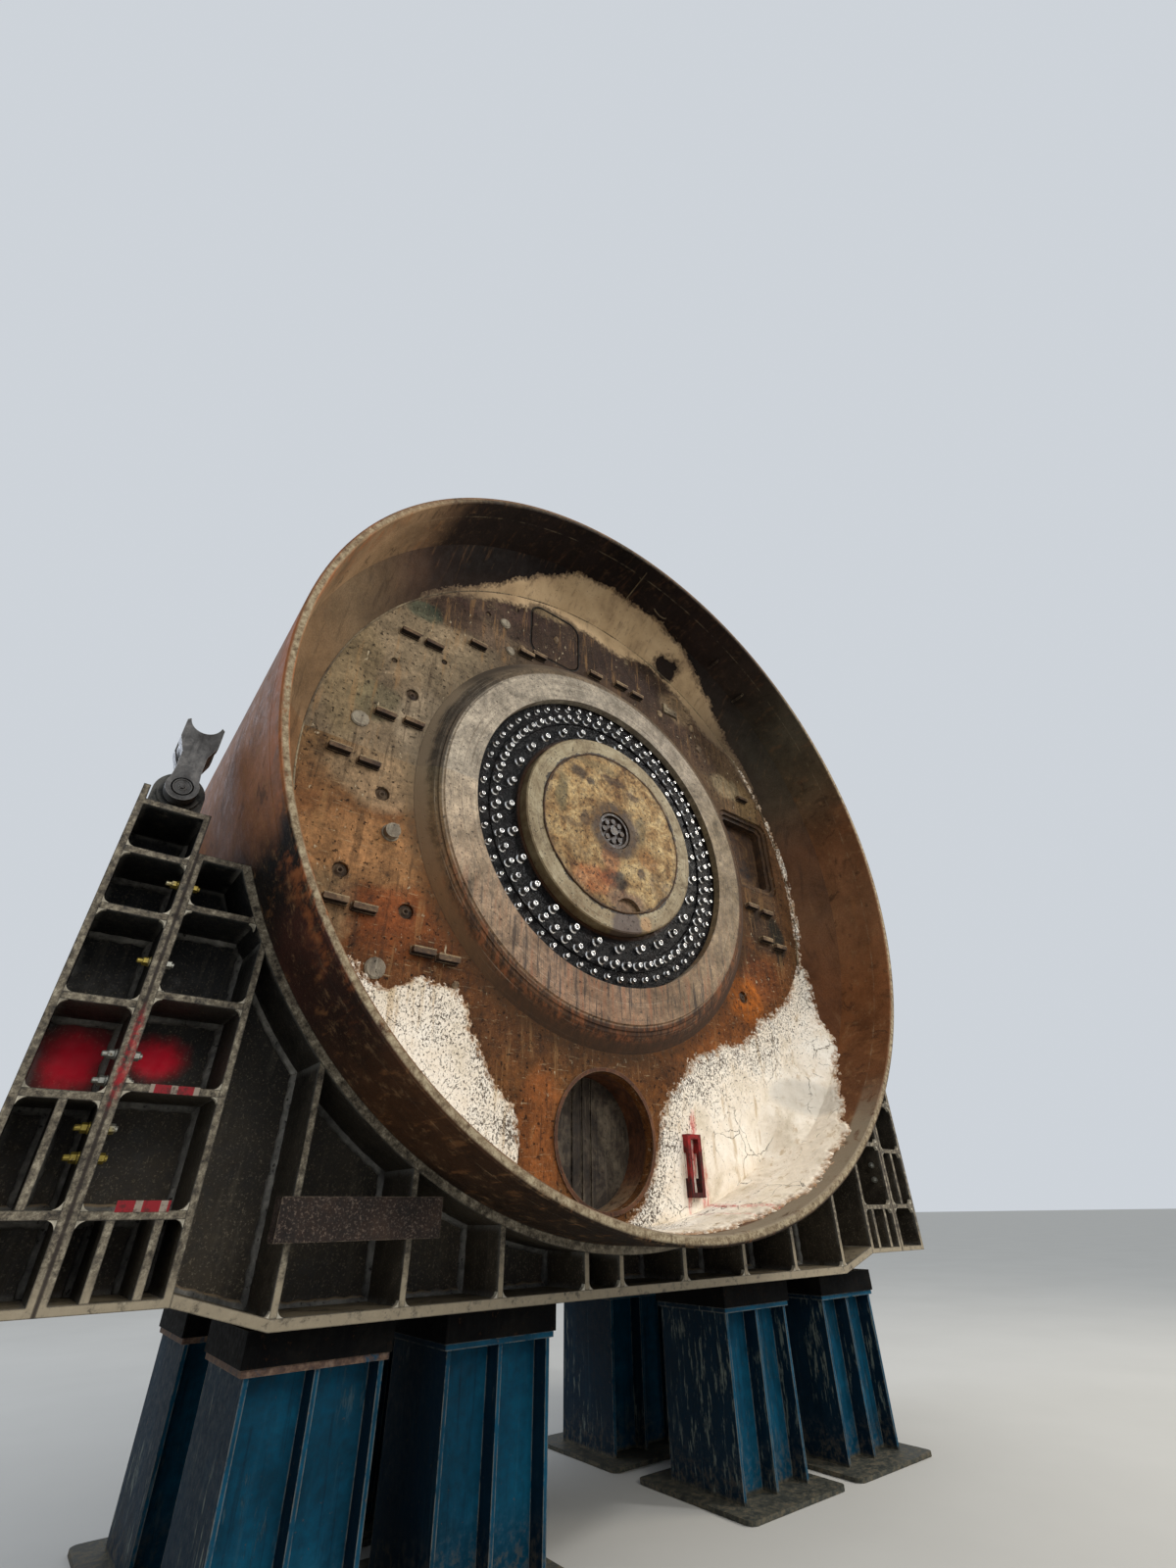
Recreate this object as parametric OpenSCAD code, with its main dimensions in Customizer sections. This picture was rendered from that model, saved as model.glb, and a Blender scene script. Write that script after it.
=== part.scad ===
// Front shield of a tunnel boring machine with its main drive, in a lifting cradle on four pairs of stands.
// The cutting wheel is off, so the ring of studs that carries it is bare.
// X runs across the shield, Y from the cutting edge to the rear, Z up. The floor is at Z = 0.

/* [Shield] */
// Outer diameter of the shield skin
shield_d = 6400; // [6200:20:6600]
// Length of the shield from the cutting edge to the rear flange
shield_len = 3300; // [3100:20:3800]
// Thickness of the skin and of the front lip
skin_t = 60; // [40:2:80]
// Length of the hard front lip
lip_len = 180; // [100:10:300]
// Depth of the bulkhead's front face behind the cutting edge
bulkhead_y = 910; // [850:5:960]
// Thickness of the bulkhead
bulkhead_t = 80; // [50:5:90]
// Radius where the sloping band meets the bulkhead
band_r = 2850; // [2780:10:2900]
// Depth where the sloping band meets the skin
band_y = 560; // [400:10:700]
// Angle of the gap that the sloping band leaves at the bottom
band_gap = 80; // [60:2:100]

/* [Main drive] */
// Outer radius of the fixed seal ring's face
seal_ring_r = 1752; // [1720:2:1780]
// Inner radius of the fixed seal ring
seal_ring_ri = 1458; // [1450:1:1480]
// Depth of the seal ring's face behind the cutting edge
seal_ring_y = 785; // [760:5:800]
// Gap between the turning ring and the fixed rings
rotor_gap = 8; // [6:0.5:12]
// Depth of the turning ring's stud land
rotor_y = 848; // [840:1:860]
// Outer radius of the fixed hub ring
hub_r = 993; // [980:1:1000]
// Outer radius of the disc in the hub ring
hub_disc_r = 810; // [780:5:830]
// Depth of the hub ring's face
hub_y = 761; // [750:1:780]
// Number of studs that carry the cutting wheel
stud_count = 60; // [40:2:72]
// Diameter of the circle of main studs
stud_pcd = 2520; // [2500:5:2540]
// Diameter of a main stud
stud_d = 48; // [30:1:56]
// Length of a main stud outside the ring
stud_len = 62; // [40:1:80]
// Number of drive motors
motor_count = 8; // [6:1:10]

/* [Openings] */
// Inner radius of the screw conveyor's opening
screw_r = 455; // [400:5:470]
// Height of the top hatch opening
hatch_h = 720; // [640:10:760]
// Width of the top hatch opening
hatch_w = 640; // [560:10:660]
// Gap round the top hatch
hatch_gap = 15; // [14:1:20]
// Radius of the round ports through the bulkhead
port_r = 56; // [40:1:60]

/* [Cradle] */
// Plate thickness of flanges and ribs
plate_t = 35; // [25:1:40]
// Thickness of the upright web plates
web_t = 35; // [25:1:45]
// Thickness of the curved saddle plates
saddle_t = 50; // [30:2:60]
// Width of a cradle frame along the shield
frame_w = 900; // [800:10:960]
// Depth of the front frame behind the cutting edge
front_frame_y = 700; // [660:10:740]
// Depth of the rear frame behind the cutting edge
rear_frame_y = 2000; // [1980:10:2100]
// Height of the base below the saddle's lowest point
base_h = 210; // [180:5:260]
// Width of the inner columns
inner_col_w = 486; // [440:2:520]
// Width of the outer columns
outer_col_w = 379; // [340:1:420]
// Top of the outer columns below the shield's axis
outer_top = 1020; // [980:10:1060]
// Top of the inner columns below the shield's axis
inner_top = 1265; // [1220:5:1300]

/* [Lifting points] */
// Height of a shackle pin above its column
pin_h = 300; // [280:5:340]
// Diameter of a shackle pin
pin_d = 110; // [90:1:120]
// Outer diameter of a shackle eye
eye_d = 190; // [170:2:210]
// Height of a shackle above its pin
shackle_h = 510; // [480:5:540]

/* [Stands] */
// Height of the stands
stand_h = 1020; // [800:10:1200]
// Width of a stand across the shield
stand_w = 680; // [600:10:720]
// Width of a stand along the shield
stand_l = 670; // [600:10:720]
// Height of the packing between stands and cradle
packing_t = 140; // [80:5:200]

/* [Hidden] */
$fn = 128;
// Facets that a large circle is drawn with where its exact edge matters
fine = 720;

steel_rust = "#5a3a26";
steel_dark = "#1d1b1a";
steel_pale = "#b3a78c";
cradle_black = "#26282b";
stand_blue = "#1d4f86";

// Distance kept where curved faces and long seams of one welded body meet
seat_gap = 0.5;
// Distance left round a plate that is welded in between others
weld_gap = 0.2;
// Running clearance at pins
pin_gap = 0.3;
// Working clearance between moving and fixed pieces
clear = 6;

shield_r = shield_d / 2;
skin_ri = shield_r - skin_t;
saddle_ri = shield_r + seat_gap;
saddle_ro = saddle_ri + saddle_t;
base_flange_t = 50;
base_z = -saddle_ro - base_h;
base_top_z = base_z + base_flange_t;
axis_z = stand_h + packing_t - base_z;
front_y = -shield_len / 2;

// Columns of the cradle: the bolted seam between inner and outer ones lies just outside the skin
seam_x = shield_r + 26;
inner_x = seam_x - inner_col_w;
outer_x = seam_x + outer_col_w;
// The base's ends rise from its flat part to the foot of the columns
base_end_w = 440;
base_flat_x = inner_x - base_end_w;
base_rise = 120;
foot_z = base_z + base_rise;

// Puts a shape drawn with x across, y up and z as depth behind the cutting edge in its place
module in_shield(depth = 0)
    translate([0, front_y + depth, axis_z]) rotate([90, 0, 0]) mirror([0, 0, 1]) children();

module both_sides() {
    children();
    mirror([1, 0, 0]) children();
}

// A ring or disc between two radii and two depths
module ring(ro, ri, y0, y1)
    translate([0, 0, y0]) difference() {
        cylinder(r = ro, h = y1 - y0);
        if (ri > 0) translate([0, 0, -1]) cylinder(r = ri, h = y1 - y0 + 2);
    }

module rounded_rect(x0, x1, y0, y1, r)
    union() {
        translate([x0 + r, y0]) square([x1 - x0 - 2 * r, y1 - y0]);
        translate([x0, y0 + r]) square([x1 - x0, y1 - y0 - 2 * r]);
        for (x = [x0 + r, x1 - r], y = [y0 + r, y1 - r]) translate([x, y]) circle(r, $fn = 48);
    }

module around(count, r, start = 0)
    for (i = [0 : count - 1]) rotate(start + i * 360 / count) translate([r, 0, 0]) children();

/* Shield */

lip_chamfer = 10;
groove = 6;
module front_lip() color(steel_rust) in_shield() rotate_extrude()
    polygon([[skin_ri, lip_chamfer], [skin_ri + lip_chamfer, 0], [shield_r - lip_chamfer, 0],
        [shield_r, lip_chamfer], [shield_r, lip_len - groove], [shield_r - groove, lip_len],
        [skin_ri, lip_len]]);

rear_flange_t = 60;
rear_flange_ri = skin_ri - 180;
rear_bolt_r = skin_ri - 60;
rear_bolt_count = 60;
rear_bolt_hole_d = 36;
skin_end = shield_len - rear_flange_t;
module shield_skin() color(steel_rust) in_shield() rotate_extrude()
    polygon([[skin_ri, lip_len], [shield_r - groove, lip_len], [shield_r, lip_len + groove],
        [shield_r, skin_end], [skin_ri, skin_end]]);

module rear_flange() color(steel_rust) in_shield() difference() {
    ring(shield_r, rear_flange_ri, skin_end, shield_len);
    around(rear_bolt_count, rear_bolt_r) translate([0, 0, skin_end - 1])
        cylinder(d = rear_bolt_hole_d, h = rear_flange_t + 2, $fn = 24);
}

bulkhead_back = bulkhead_y + bulkhead_t;
module sloping_band() color(steel_pale) in_shield() difference() {
    rotate_extrude($fn = fine) polygon([[band_r, bulkhead_y], [skin_ri - seat_gap, band_y],
        [skin_ri - seat_gap, bulkhead_y]]);
    gap_half_w = shield_r * tan(band_gap / 2);
    translate([0, 0, band_y - 1]) linear_extrude(bulkhead_y - band_y + 2)
        polygon([[0, 0], [-gap_half_w, -shield_r], [gap_half_w, -shield_r]]);
}

// Centres of the round ports through the bulkhead
//         x      z
ports = [[-2089, 690], [-2183, -350], [-2369, -1035], [-1860, -1216], [1733, -1247]];
// Small drain and sensor holes
//              x      z
small_holes = [[-1616, -1793], [-1713, -1910], [-941, -2653], [330, 2707], [1733, 2021], [1484, -1822],
    [-1131, 2406], [-1460, 2121], [-2298, 973], [-1851, 1214]];
small_hole_r = 28;

screw_x = -70;
screw_z = -2557;
hatch_x = -620;
hatch_z = 2290;
hatch_corner_r = 150;
housing_r = 1700;
// The man-lock stands this far outside the drive's housing
manlock_housing_gap = 80;
manlock_x0 = housing_r + manlock_housing_gap;
manlock_x1 = 2620;
manlock_z0 = 30;
manlock_z1 = 990;
manlock_corner_r = 120;
// The seal ring steps down twice and then flares out to the drive's flange
seal_step_w = 78;
flare_w = 130;
drive_flange_r = seal_ring_r + seal_step_w + flare_w;
drive_seat_w = 60;
drive_bore_r = drive_flange_r - drive_seat_w;
// The man-lock opening stays this far outside the seal ring's foot
manlock_land = 30;
manlock_inner_r = drive_flange_r + manlock_land;

module manlock_plan(inset) difference() {
    rounded_rect(manlock_x0 + inset, manlock_x1 - inset, manlock_z0 + inset, manlock_z1 - inset,
        manlock_corner_r - inset / 2);
    circle(manlock_inner_r + inset);
}

module hatch_plan(inset)
    rounded_rect(hatch_x - hatch_w / 2 + inset, hatch_x + hatch_w / 2 - inset,
        hatch_z - hatch_h / 2 + inset, hatch_z + hatch_h / 2 - inset, hatch_corner_r - inset);

module bulkhead() color(steel_rust) in_shield(bulkhead_y) difference() {
    cylinder(r = skin_ri - seat_gap, h = bulkhead_t);
    translate([0, 0, -1]) {
        cylinder(r = drive_bore_r, h = bulkhead_t + 2);
        translate([screw_x, screw_z]) cylinder(r = screw_r, h = bulkhead_t + 2);
        linear_extrude(bulkhead_t + 2) manlock_plan(0);
        linear_extrude(bulkhead_t + 2) hatch_plan(0);
        for (p = ports) translate(p) cylinder(r = port_r, h = bulkhead_t + 2, $fn = 48);
        for (p = small_holes) translate(p) cylinder(r = small_hole_r, h = bulkhead_t + 2, $fn = 32);
    }
}

// Stiffening plates between the drive and the skin, clear of hatch, man-lock and screw
gusset_angles = [50, 76, 140, 165, 190, 215, 240, 300, 322, 340];
gusset_t = 60;
gusset_len = 900;
module bulkhead_gussets() color(steel_rust) in_shield() for (a = gusset_angles) rotate(a)
    translate([0, gusset_t / 2, 0]) rotate([90, 0, 0]) linear_extrude(gusset_t)
        polygon([[drive_flange_r + 1, bulkhead_back + seat_gap], [skin_ri - 1, bulkhead_back + seat_gap],
            [skin_ri - 1, bulkhead_back + gusset_len], [skin_ri - 260, bulkhead_back + gusset_len],
            [drive_flange_r + 1, bulkhead_back + 260]]);

/* Main drive */

module seal_ring() color(steel_pale) in_shield() rotate_extrude()
    polygon([[seal_ring_ri, seal_ring_y], [seal_ring_r, seal_ring_y], [seal_ring_r + 10, seal_ring_y + 14],
        [seal_ring_r + seal_step_w - 30, seal_ring_y + 14],
        [seal_ring_r + seal_step_w - 24, seal_ring_y + 26],
        [seal_ring_r + seal_step_w, seal_ring_y + 26], [drive_flange_r, bulkhead_y],
        [drive_bore_r - seat_gap, bulkhead_y], [drive_bore_r - seat_gap, bulkhead_back],
        [seal_ring_ri, bulkhead_back]]);

housing_flange_t = 60;
housing_back = 1950;
module drive_housing() color(steel_rust) in_shield() rotate_extrude()
    polygon([[0, bulkhead_back], [drive_flange_r, bulkhead_back],
        [drive_flange_r, bulkhead_back + housing_flange_t], [housing_r, bulkhead_back + housing_flange_t],
        [housing_r, housing_back - 80], [housing_r - 80, housing_back], [0, housing_back]]);

motor_pcd_r = 1300;
gear_r = 230;
gear_len = 400;
motor_r = 185;
motor_len = 430;
// Terminal box on each motor: width, height, length and distance from the motor's foot
terminal_w = 160;
terminal_h = 90;
terminal_len = 200;
terminal_y = 120;
module gear_units() color("#3b4046") in_shield(housing_back) around(motor_count, motor_pcd_r) {
    cylinder(r = gear_r + 30, h = 50);
    cylinder(r = gear_r, h = gear_len - 50, $fn = 64);
    translate([0, 0, gear_len - 50]) cylinder(r = gear_r + 20, h = 50);
}

module drive_motors() color("#46505a") in_shield(housing_back + gear_len) around(motor_count, motor_pcd_r) {
    cylinder(r = motor_r, h = motor_len);
    translate([0, 0, motor_len]) cylinder(r = motor_r - 35, h = 50);
    translate([-terminal_w / 2, motor_r - 30, terminal_y]) cube([terminal_w, terminal_h, terminal_len]);
}

// Radius and length of the rear union's foot, body and end
union_foot = [420, 60];
union_body = [300, 320];
union_end = [210, 260];
module rear_union() color("#3b4046") in_shield(housing_back) {
    cylinder(r = union_foot[0], h = union_foot[1]);
    cylinder(r = union_body[0], h = union_body[1]);
    translate([0, 0, union_body[1]]) cylinder(r = union_end[0], h = union_end[1]);
}

rotor_ro = seal_ring_ri - rotor_gap;
rotor_ri = hub_r + rotor_gap;
rotor_back = bulkhead_back - 20;
stud_r = stud_pcd / 2;
// Steps of the turning ring: outer land, stud land and inner land
step_outer_r = stud_r + 56;
step_inner_r = stud_r - 56;
race_w = 60;
module turning_ring() color(steel_dark) in_shield() {
    rotate_extrude() polygon([[rotor_ri, rotor_y + 12], [step_inner_r, rotor_y + 12],
        [step_inner_r + 6, rotor_y], [step_outer_r - 6, rotor_y], [step_outer_r, rotor_y + 8],
        [rotor_ro, rotor_y + 8],
        [rotor_ro, rotor_back], [rotor_ri, rotor_back]]);
    // Bearing race that runs on the housing
    ring(stud_r + race_w / 2, stud_r - race_w / 2, rotor_back - 1, bulkhead_back - pin_gap);
}

module stud(d, h) {
    cylinder(d = d, h = h - 6, $fn = 24);
    translate([0, 0, h - 6]) cylinder(d1 = d, d2 = d - 10, h = 6, $fn = 24);
}

module main_studs() color("#8a8a8c") in_shield() around(stud_count, stud_r)
    translate([0, 0, rotor_y]) mirror([0, 0, 1]) stud(stud_d, stud_len);

outer_stud_r = stud_r + 118;
outer_stud_d = 36;
outer_stud_len = 34;
module outer_studs() color("#8a8a8c") in_shield() around(stud_count, outer_stud_r, 3)
    translate([0, 0, rotor_y + 8]) mirror([0, 0, 1]) stud(outer_stud_d, outer_stud_len);

inner_stud_count = 28;
inner_stud_r = stud_r - 150;
inner_stud_d = 56;
inner_stud_len = 52;
module inner_studs() color("#8a8a8c") in_shield() around(inner_stud_count, inner_stud_r, 4)
    translate([0, 0, rotor_y + 12]) mirror([0, 0, 1]) stud(inner_stud_d, inner_stud_len);

hub_ledge_y = 850;
hub_ledge_r = 700;
module hub_ring() color(steel_pale) in_shield() rotate_extrude()
    polygon([[hub_disc_r + 5, hub_y + 4], [hub_disc_r + 9, hub_y], [hub_r - 12, hub_y], [hub_r, hub_y + 10],
        [hub_r, bulkhead_back], [hub_ledge_r, bulkhead_back], [hub_ledge_r, hub_ledge_y],
        [hub_disc_r + 5, hub_ledge_y]]);

// The disc has lost a piece of its caulked edge at the bottom
union_r = 180;
union_gap = 10;
disc_y = hub_y - 6;
module hub_disc() color("#a98d52") in_shield() difference() {
    ring(hub_disc_r, union_r + union_gap, disc_y, hub_ledge_y);
    translate([130, -hub_disc_r, disc_y - 1]) cylinder(r = 150, h = 41, $fn = 48);
}

nozzle_count = 8;
module hub_nozzles() color(steel_dark) in_shield() {
    ring(union_r, 0, disc_y + 45, bulkhead_back);
    ring(union_r, union_r - 22, disc_y + 12, disc_y + 45);
    around(nozzle_count, 105) translate([0, 0, disc_y + 20]) cylinder(r = 26, h = 25, $fn = 24);
    translate([0, 0, disc_y + 10]) cylinder(r = 46, h = 35, $fn = 32);
}

/* Screw conveyor opening */

screw_wall = 32;
screw_len = 520;
screw_flange_w = 85;
screw_bolt_count = 24;
screw_bolt_r = screw_r + 60;
screw_bolt_hole_d = 26;
gate_depth = 170;
gate_t = 40;
module at_screw() in_shield() translate([screw_x, screw_z]) children();

module screw_lip() color(steel_rust) at_screw() ring(screw_r + 28, screw_r, bulkhead_y - 12, bulkhead_y);

module screw_casing() color(steel_rust) at_screw() {
    ring(screw_r + screw_wall, screw_r, bulkhead_back, bulkhead_back + screw_len);
    difference() {
        ring(screw_r + screw_flange_w, screw_r, bulkhead_back + screw_len - 40, bulkhead_back + screw_len);
        around(screw_bolt_count, screw_bolt_r) translate([0, 0, bulkhead_back + screw_len - 50])
            cylinder(d = screw_bolt_hole_d, h = 60, $fn = 24);
    }
}

gate_bar_w = 36;
gate_bar_pitch = 170;
module screw_gate() color("#2a2420") at_screw() {
    ring(screw_r - seat_gap, 0, bulkhead_back + gate_depth, bulkhead_back + gate_depth + gate_t);
    for (i = [-2 : 2]) intersection() {
        translate([i * gate_bar_pitch - gate_bar_w / 2, -screw_r, bulkhead_back + gate_depth - 30])
            cube([gate_bar_w, 2 * screw_r, 31]);
        ring(screw_r - 12, 0, bulkhead_back + gate_depth - 30, bulkhead_back + gate_depth + 1);
    }
}

/* Man-lock */

manlock_recess = 25;
manlock_step = 45;
manlock_frame_back = bulkhead_back + 70;
module manlock_frame() color(steel_rust) in_shield() {
    difference() {
        translate([0, 0, bulkhead_y + manlock_recess])
            linear_extrude(manlock_frame_back - bulkhead_y - manlock_recess) manlock_plan(seat_gap);
        translate([0, 0, bulkhead_y]) linear_extrude(manlock_recess + 30) manlock_plan(manlock_step);
        translate([0, 0, bulkhead_y]) linear_extrude(manlock_frame_back) manlock_plan(2 * manlock_step);
    }
    for (z = manlock_hinge_z) manlock_hinge_lug(z);
}

manlock_door_t = 40;
manlock_door_y = manlock_frame_back + clear;
manlock_door_x0 = manlock_x0 + 50;
manlock_door_x1 = manlock_x1 - 45;
manlock_pin_x = manlock_door_x1 + 32;
manlock_pin_y = manlock_door_y + manlock_door_t + 30;
// Upright stiffeners on the door's rear
stiffener_t = 24;
stiffener_pitch = 200;
stiffener_inset = 150;
hinge_pin_r = 16;
knuckle_r = 30;
knuckle_h = 70;
// Heights of the man-lock door's hinges
manlock_hinge_z = [manlock_z0 + 200, manlock_z1 - 200];

// Two ears with a pin between them, open for the knuckle
module hinge_ears(h) {
    for (z = [-h / 2 - clear - 24, h / 2 + clear])
        translate([0, 0, z]) cylinder(r = knuckle_r, h = 24, $fn = 48);
    translate([0, 0, -h / 2 - clear - 24]) cylinder(r = hinge_pin_r, h = h + 2 * clear + 48, $fn = 32);
}

module manlock_hinge_lug(z) {
    translate([manlock_pin_x, z, manlock_pin_y]) rotate([-90, 0, 0]) hinge_ears(knuckle_h);
    for (s = [-knuckle_h / 2 - clear - 24, knuckle_h / 2 + clear])
        translate([manlock_pin_x - 18, z + s, manlock_frame_back - 10])
            cube([manlock_x1 - seat_gap - manlock_pin_x + 16, 24, manlock_pin_y - manlock_frame_back + 10]);
}

module manlock_door() color("#4a3022") in_shield() difference() {
    union() {
        translate([0, 0, manlock_door_y]) linear_extrude(manlock_door_t)
            rounded_rect(manlock_door_x0, manlock_door_x1, manlock_z0 + 50, manlock_z1 - 50, 80);
        translate([(manlock_door_x0 + manlock_door_x1) / 2 - 20, 0, manlock_door_y + manlock_door_t])
            for (i = [-1 : 1])
                translate([i * stiffener_pitch - stiffener_t / 2, manlock_z0 + stiffener_inset, 0])
                    cube([stiffener_t, manlock_z1 - manlock_z0 - 2 * stiffener_inset, 50]);
        for (z = manlock_hinge_z) {
            translate([manlock_pin_x, z - knuckle_h / 2, manlock_pin_y]) rotate([-90, 0, 0])
                cylinder(r = knuckle_r, h = knuckle_h, $fn = 48);
            translate([manlock_door_x1 - 130, z - knuckle_h / 2, manlock_door_y + manlock_door_t - 1])
                cube([manlock_pin_x - manlock_door_x1 + 130, knuckle_h, 40]);
        }
    }
    for (z = manlock_hinge_z) translate([manlock_pin_x, z - knuckle_h, manlock_pin_y]) rotate([-90, 0, 0])
        cylinder(r = hinge_pin_r + pin_gap, h = 2 * knuckle_h, $fn = 32);
}

chamber_wall = 30;
chamber_len = 1350;
chamber_margin = 160;
module chamber_plan(inset)
    rounded_rect(manlock_x0 - chamber_wall - seat_gap + inset, manlock_x1 + chamber_margin - inset,
        manlock_z0 - chamber_margin + inset, manlock_z1 + chamber_margin - inset, 200 - inset / 2);

module manlock_chamber() color("#6b6f70") in_shield(bulkhead_back) difference() {
    linear_extrude(chamber_len) chamber_plan(0);
    translate([0, 0, -1]) linear_extrude(chamber_len - 39) chamber_plan(chamber_wall);
    translate([0, 0, -1]) cylinder(r = drive_flange_r + 4, h = housing_flange_t + 5);
}

/* Top hatch */

hatch_t = 50;
hatch_hinge_x = hatch_x - hatch_w / 2 - 35;
hatch_hinge_y = bulkhead_back + 34;
hatch_hinge_z = [hatch_z - hatch_h / 4, hatch_z + hatch_h / 4];
module hatch_hinge() color(steel_rust) in_shield() for (z = hatch_hinge_z) {
    translate([hatch_hinge_x, z, hatch_hinge_y]) rotate([-90, 0, 0]) hinge_ears(knuckle_h);
    for (s = [-knuckle_h / 2 - clear - 24, knuckle_h / 2 + clear])
        translate([hatch_hinge_x - 20, z + s, bulkhead_back]) cube([40, 24, hatch_hinge_y - bulkhead_back]);
}

strap_t = 24;
module hatch_door() color("#4a3022") in_shield() difference() {
    union() {
        translate([0, 0, bulkhead_y]) linear_extrude(hatch_t) hatch_plan(hatch_gap);
        for (z = hatch_hinge_z) {
            translate([hatch_x - hatch_w / 2 + 40, z - knuckle_h / 2, bulkhead_y + hatch_t - 1])
                cube([hatch_w - 160, knuckle_h, hatch_hinge_y - strap_t / 2 - bulkhead_y - hatch_t + 2]);
            translate([hatch_hinge_x, z - knuckle_h / 2, hatch_hinge_y - strap_t / 2])
                cube([hatch_w - 45, knuckle_h, strap_t]);
            translate([hatch_hinge_x, z - knuckle_h / 2, hatch_hinge_y]) rotate([-90, 0, 0])
                cylinder(r = knuckle_r - 2, h = knuckle_h, $fn = 48);
        }
    }
    for (z = hatch_hinge_z) translate([hatch_hinge_x, z - knuckle_h, hatch_hinge_y]) rotate([-90, 0, 0])
        cylinder(r = hinge_pin_r + pin_gap, h = 2 * knuckle_h, $fn = 32);
}

/* Fittings on the bulkhead */

bar_len = 170;
bar_h = 46;
bar_out = 60;
// Centres of the wear bars
//        x      z
bars = [[-2212, 1334], [-1980, 1330], [-1544, 1599], [-1000, 1807], [-845, 1866], [-86, 2020], [293, 2069],
    [534, 2047], [-2289, 363], [-2045, 385], [-2570, -108], [-2337, -143], [-2370, -1258], [-2165, -1277],
    [-1702, -1483], [-1510, -1501], [2213, 1240], [2078, -208], [2320, -230], [2230, -560], [2450, -600]];
module wear_bars() color(steel_rust) in_shield(bulkhead_y - bar_out) for (p = bars)
    translate([p[0] - bar_len / 2, p[1] - bar_h / 2, 0]) linear_extrude(bar_out)
        polygon([[6, 0], [bar_len - 6, 0], [bar_len, 6], [bar_len, bar_h], [0, bar_h], [0, 6]]);

// Round covers welded on, with how far each stands out
//         x      z     r   out
covers = [[-2470, 243, 62, 14], [-2015, -1652, 62, 14], [-2071, -652, 58, 60], [-1259, 2109, 50, 16],
    [-1178, 1763, 42, 16]];
module port_covers() color(steel_pale) in_shield() for (c = covers)
    translate([c[0], c[1], bulkhead_y - c[3]]) cylinder(r = c[2], h = c[3], $fn = 48);

bracket_x = 769;
bracket_z = -2714;
bracket_h = 430;
bracket_w = 150;
bracket_bar = 34;
bracket_out = 80;
module red_bracket() color("#b3241c") in_shield(bulkhead_y - bracket_out)
    translate([bracket_x - bracket_w / 2, bracket_z - bracket_h / 2]) difference() {
        cube([bracket_w, bracket_h, bracket_out]);
        translate([bracket_bar, bracket_bar, -1])
            cube([bracket_w - 2 * bracket_bar, bracket_h - 2 * bracket_bar, bracket_out + 2]);
        translate([-1, bracket_h * 0.3, bracket_bar])
            cube([bracket_w + 2, bracket_h * 0.4, bracket_out - bracket_bar + 1]);
    }

// Lugs inside the skin above the band
//           angle  depth
lug_places = [[62, 330], [52, 380]];
lug_stand = 70;
module skin_lugs() color(steel_rust) in_shield() for (p = lug_places) rotate(p[0])
    translate([skin_ri - seat_gap - lug_stand, -12, p[1]]) cube([lug_stand, 24, 160]);

/* Cradle */

module saddle_arc() difference() {
    circle(saddle_ro, $fn = fine);
    circle(saddle_ri, $fn = fine);
    translate([-saddle_ro, -inner_top]) square([2 * saddle_ro, saddle_ro + inner_top]);
}

module saddle(y) color(cradle_black) in_shield(y) linear_extrude(frame_w) saddle_arc();

module base_outline() difference() {
    polygon([[-inner_x, foot_z + base_flange_t], [-base_flat_x, base_top_z], [base_flat_x, base_top_z],
        [inner_x, foot_z + base_flange_t], [inner_x, -inner_top], [-inner_x, -inner_top]]);
    circle(saddle_ro + seat_gap, $fn = fine);
}

web_in = (frame_w - web_t) / 2;
// Web plate and bottom flange, welded together
module base(y) color(cradle_black) in_shield(y) {
    translate([0, 0, web_in]) linear_extrude(web_t) base_outline();
    linear_extrude(frame_w) polygon([[-inner_x, foot_z], [-base_flat_x, base_z], [base_flat_x, base_z],
        [inner_x, foot_z], [inner_x, foot_z + base_flange_t], [base_flat_x, base_top_z],
        [-base_flat_x, base_top_z], [-inner_x, foot_z + base_flange_t]]);
}

// Plates that stand on each side of a frame's web
module beside_web(gap = 0) {
    linear_extrude(web_in - gap) children();
    translate([0, 0, web_in + web_t + gap]) linear_extrude(web_in - gap) children();
}

// Middles of the upright ribs under the saddle
base_rib_x = [-2290, -1650, -1055, -430, -145, 430, 1055, 1650, 2290];
module base_ribs(y) color(cradle_black) in_shield(y) beside_web() intersection() {
    base_outline();
    for (x = base_rib_x) translate([x - plate_t / 2, base_z]) square([plate_t, saddle_ro]);
}

// Levels of the cross plates, down from the shield's axis
inner_rows = [1585, 2060, 2490, 3000];
outer_rows = [1335, 1665, 2120, 2540, 2997];
inner_foot_ribs = [120, 310];
outer_rib = 179;

module inner_outline() difference() {
    translate([inner_x, foot_z]) square([inner_col_w, -inner_top - foot_z]);
    circle(saddle_ro + seat_gap, $fn = fine);
}

// Flanges and end plates of an inner column
module inner_flanges() intersection() {
    inner_outline();
    union() {
        translate([inner_x, foot_z]) square([plate_t, -foot_z]);
        translate([seam_x - plate_t, foot_z]) square([plate_t, -foot_z]);
        translate([inner_x, foot_z]) square([inner_col_w, plate_t]);
        translate([inner_x, -inner_top - plate_t]) square([inner_col_w, plate_t]);
    }
}

module outer_flanges() {
    difference() {
        translate([seam_x, foot_z]) square([outer_col_w, -outer_top - foot_z]);
        translate([seam_x + plate_t, foot_z + plate_t])
            square([outer_col_w - 2 * plate_t, -outer_top - foot_z - 2 * plate_t]);
    }
    translate([outer_x - plate_t, -outer_top - 1]) square([plate_t, 90]);
}

module inner_columns(y) color(cradle_black) in_shield(y) both_sides() {
    linear_extrude(frame_w) inner_flanges();
    translate([0, 0, web_in]) linear_extrude(web_t) inner_outline();
}

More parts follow.
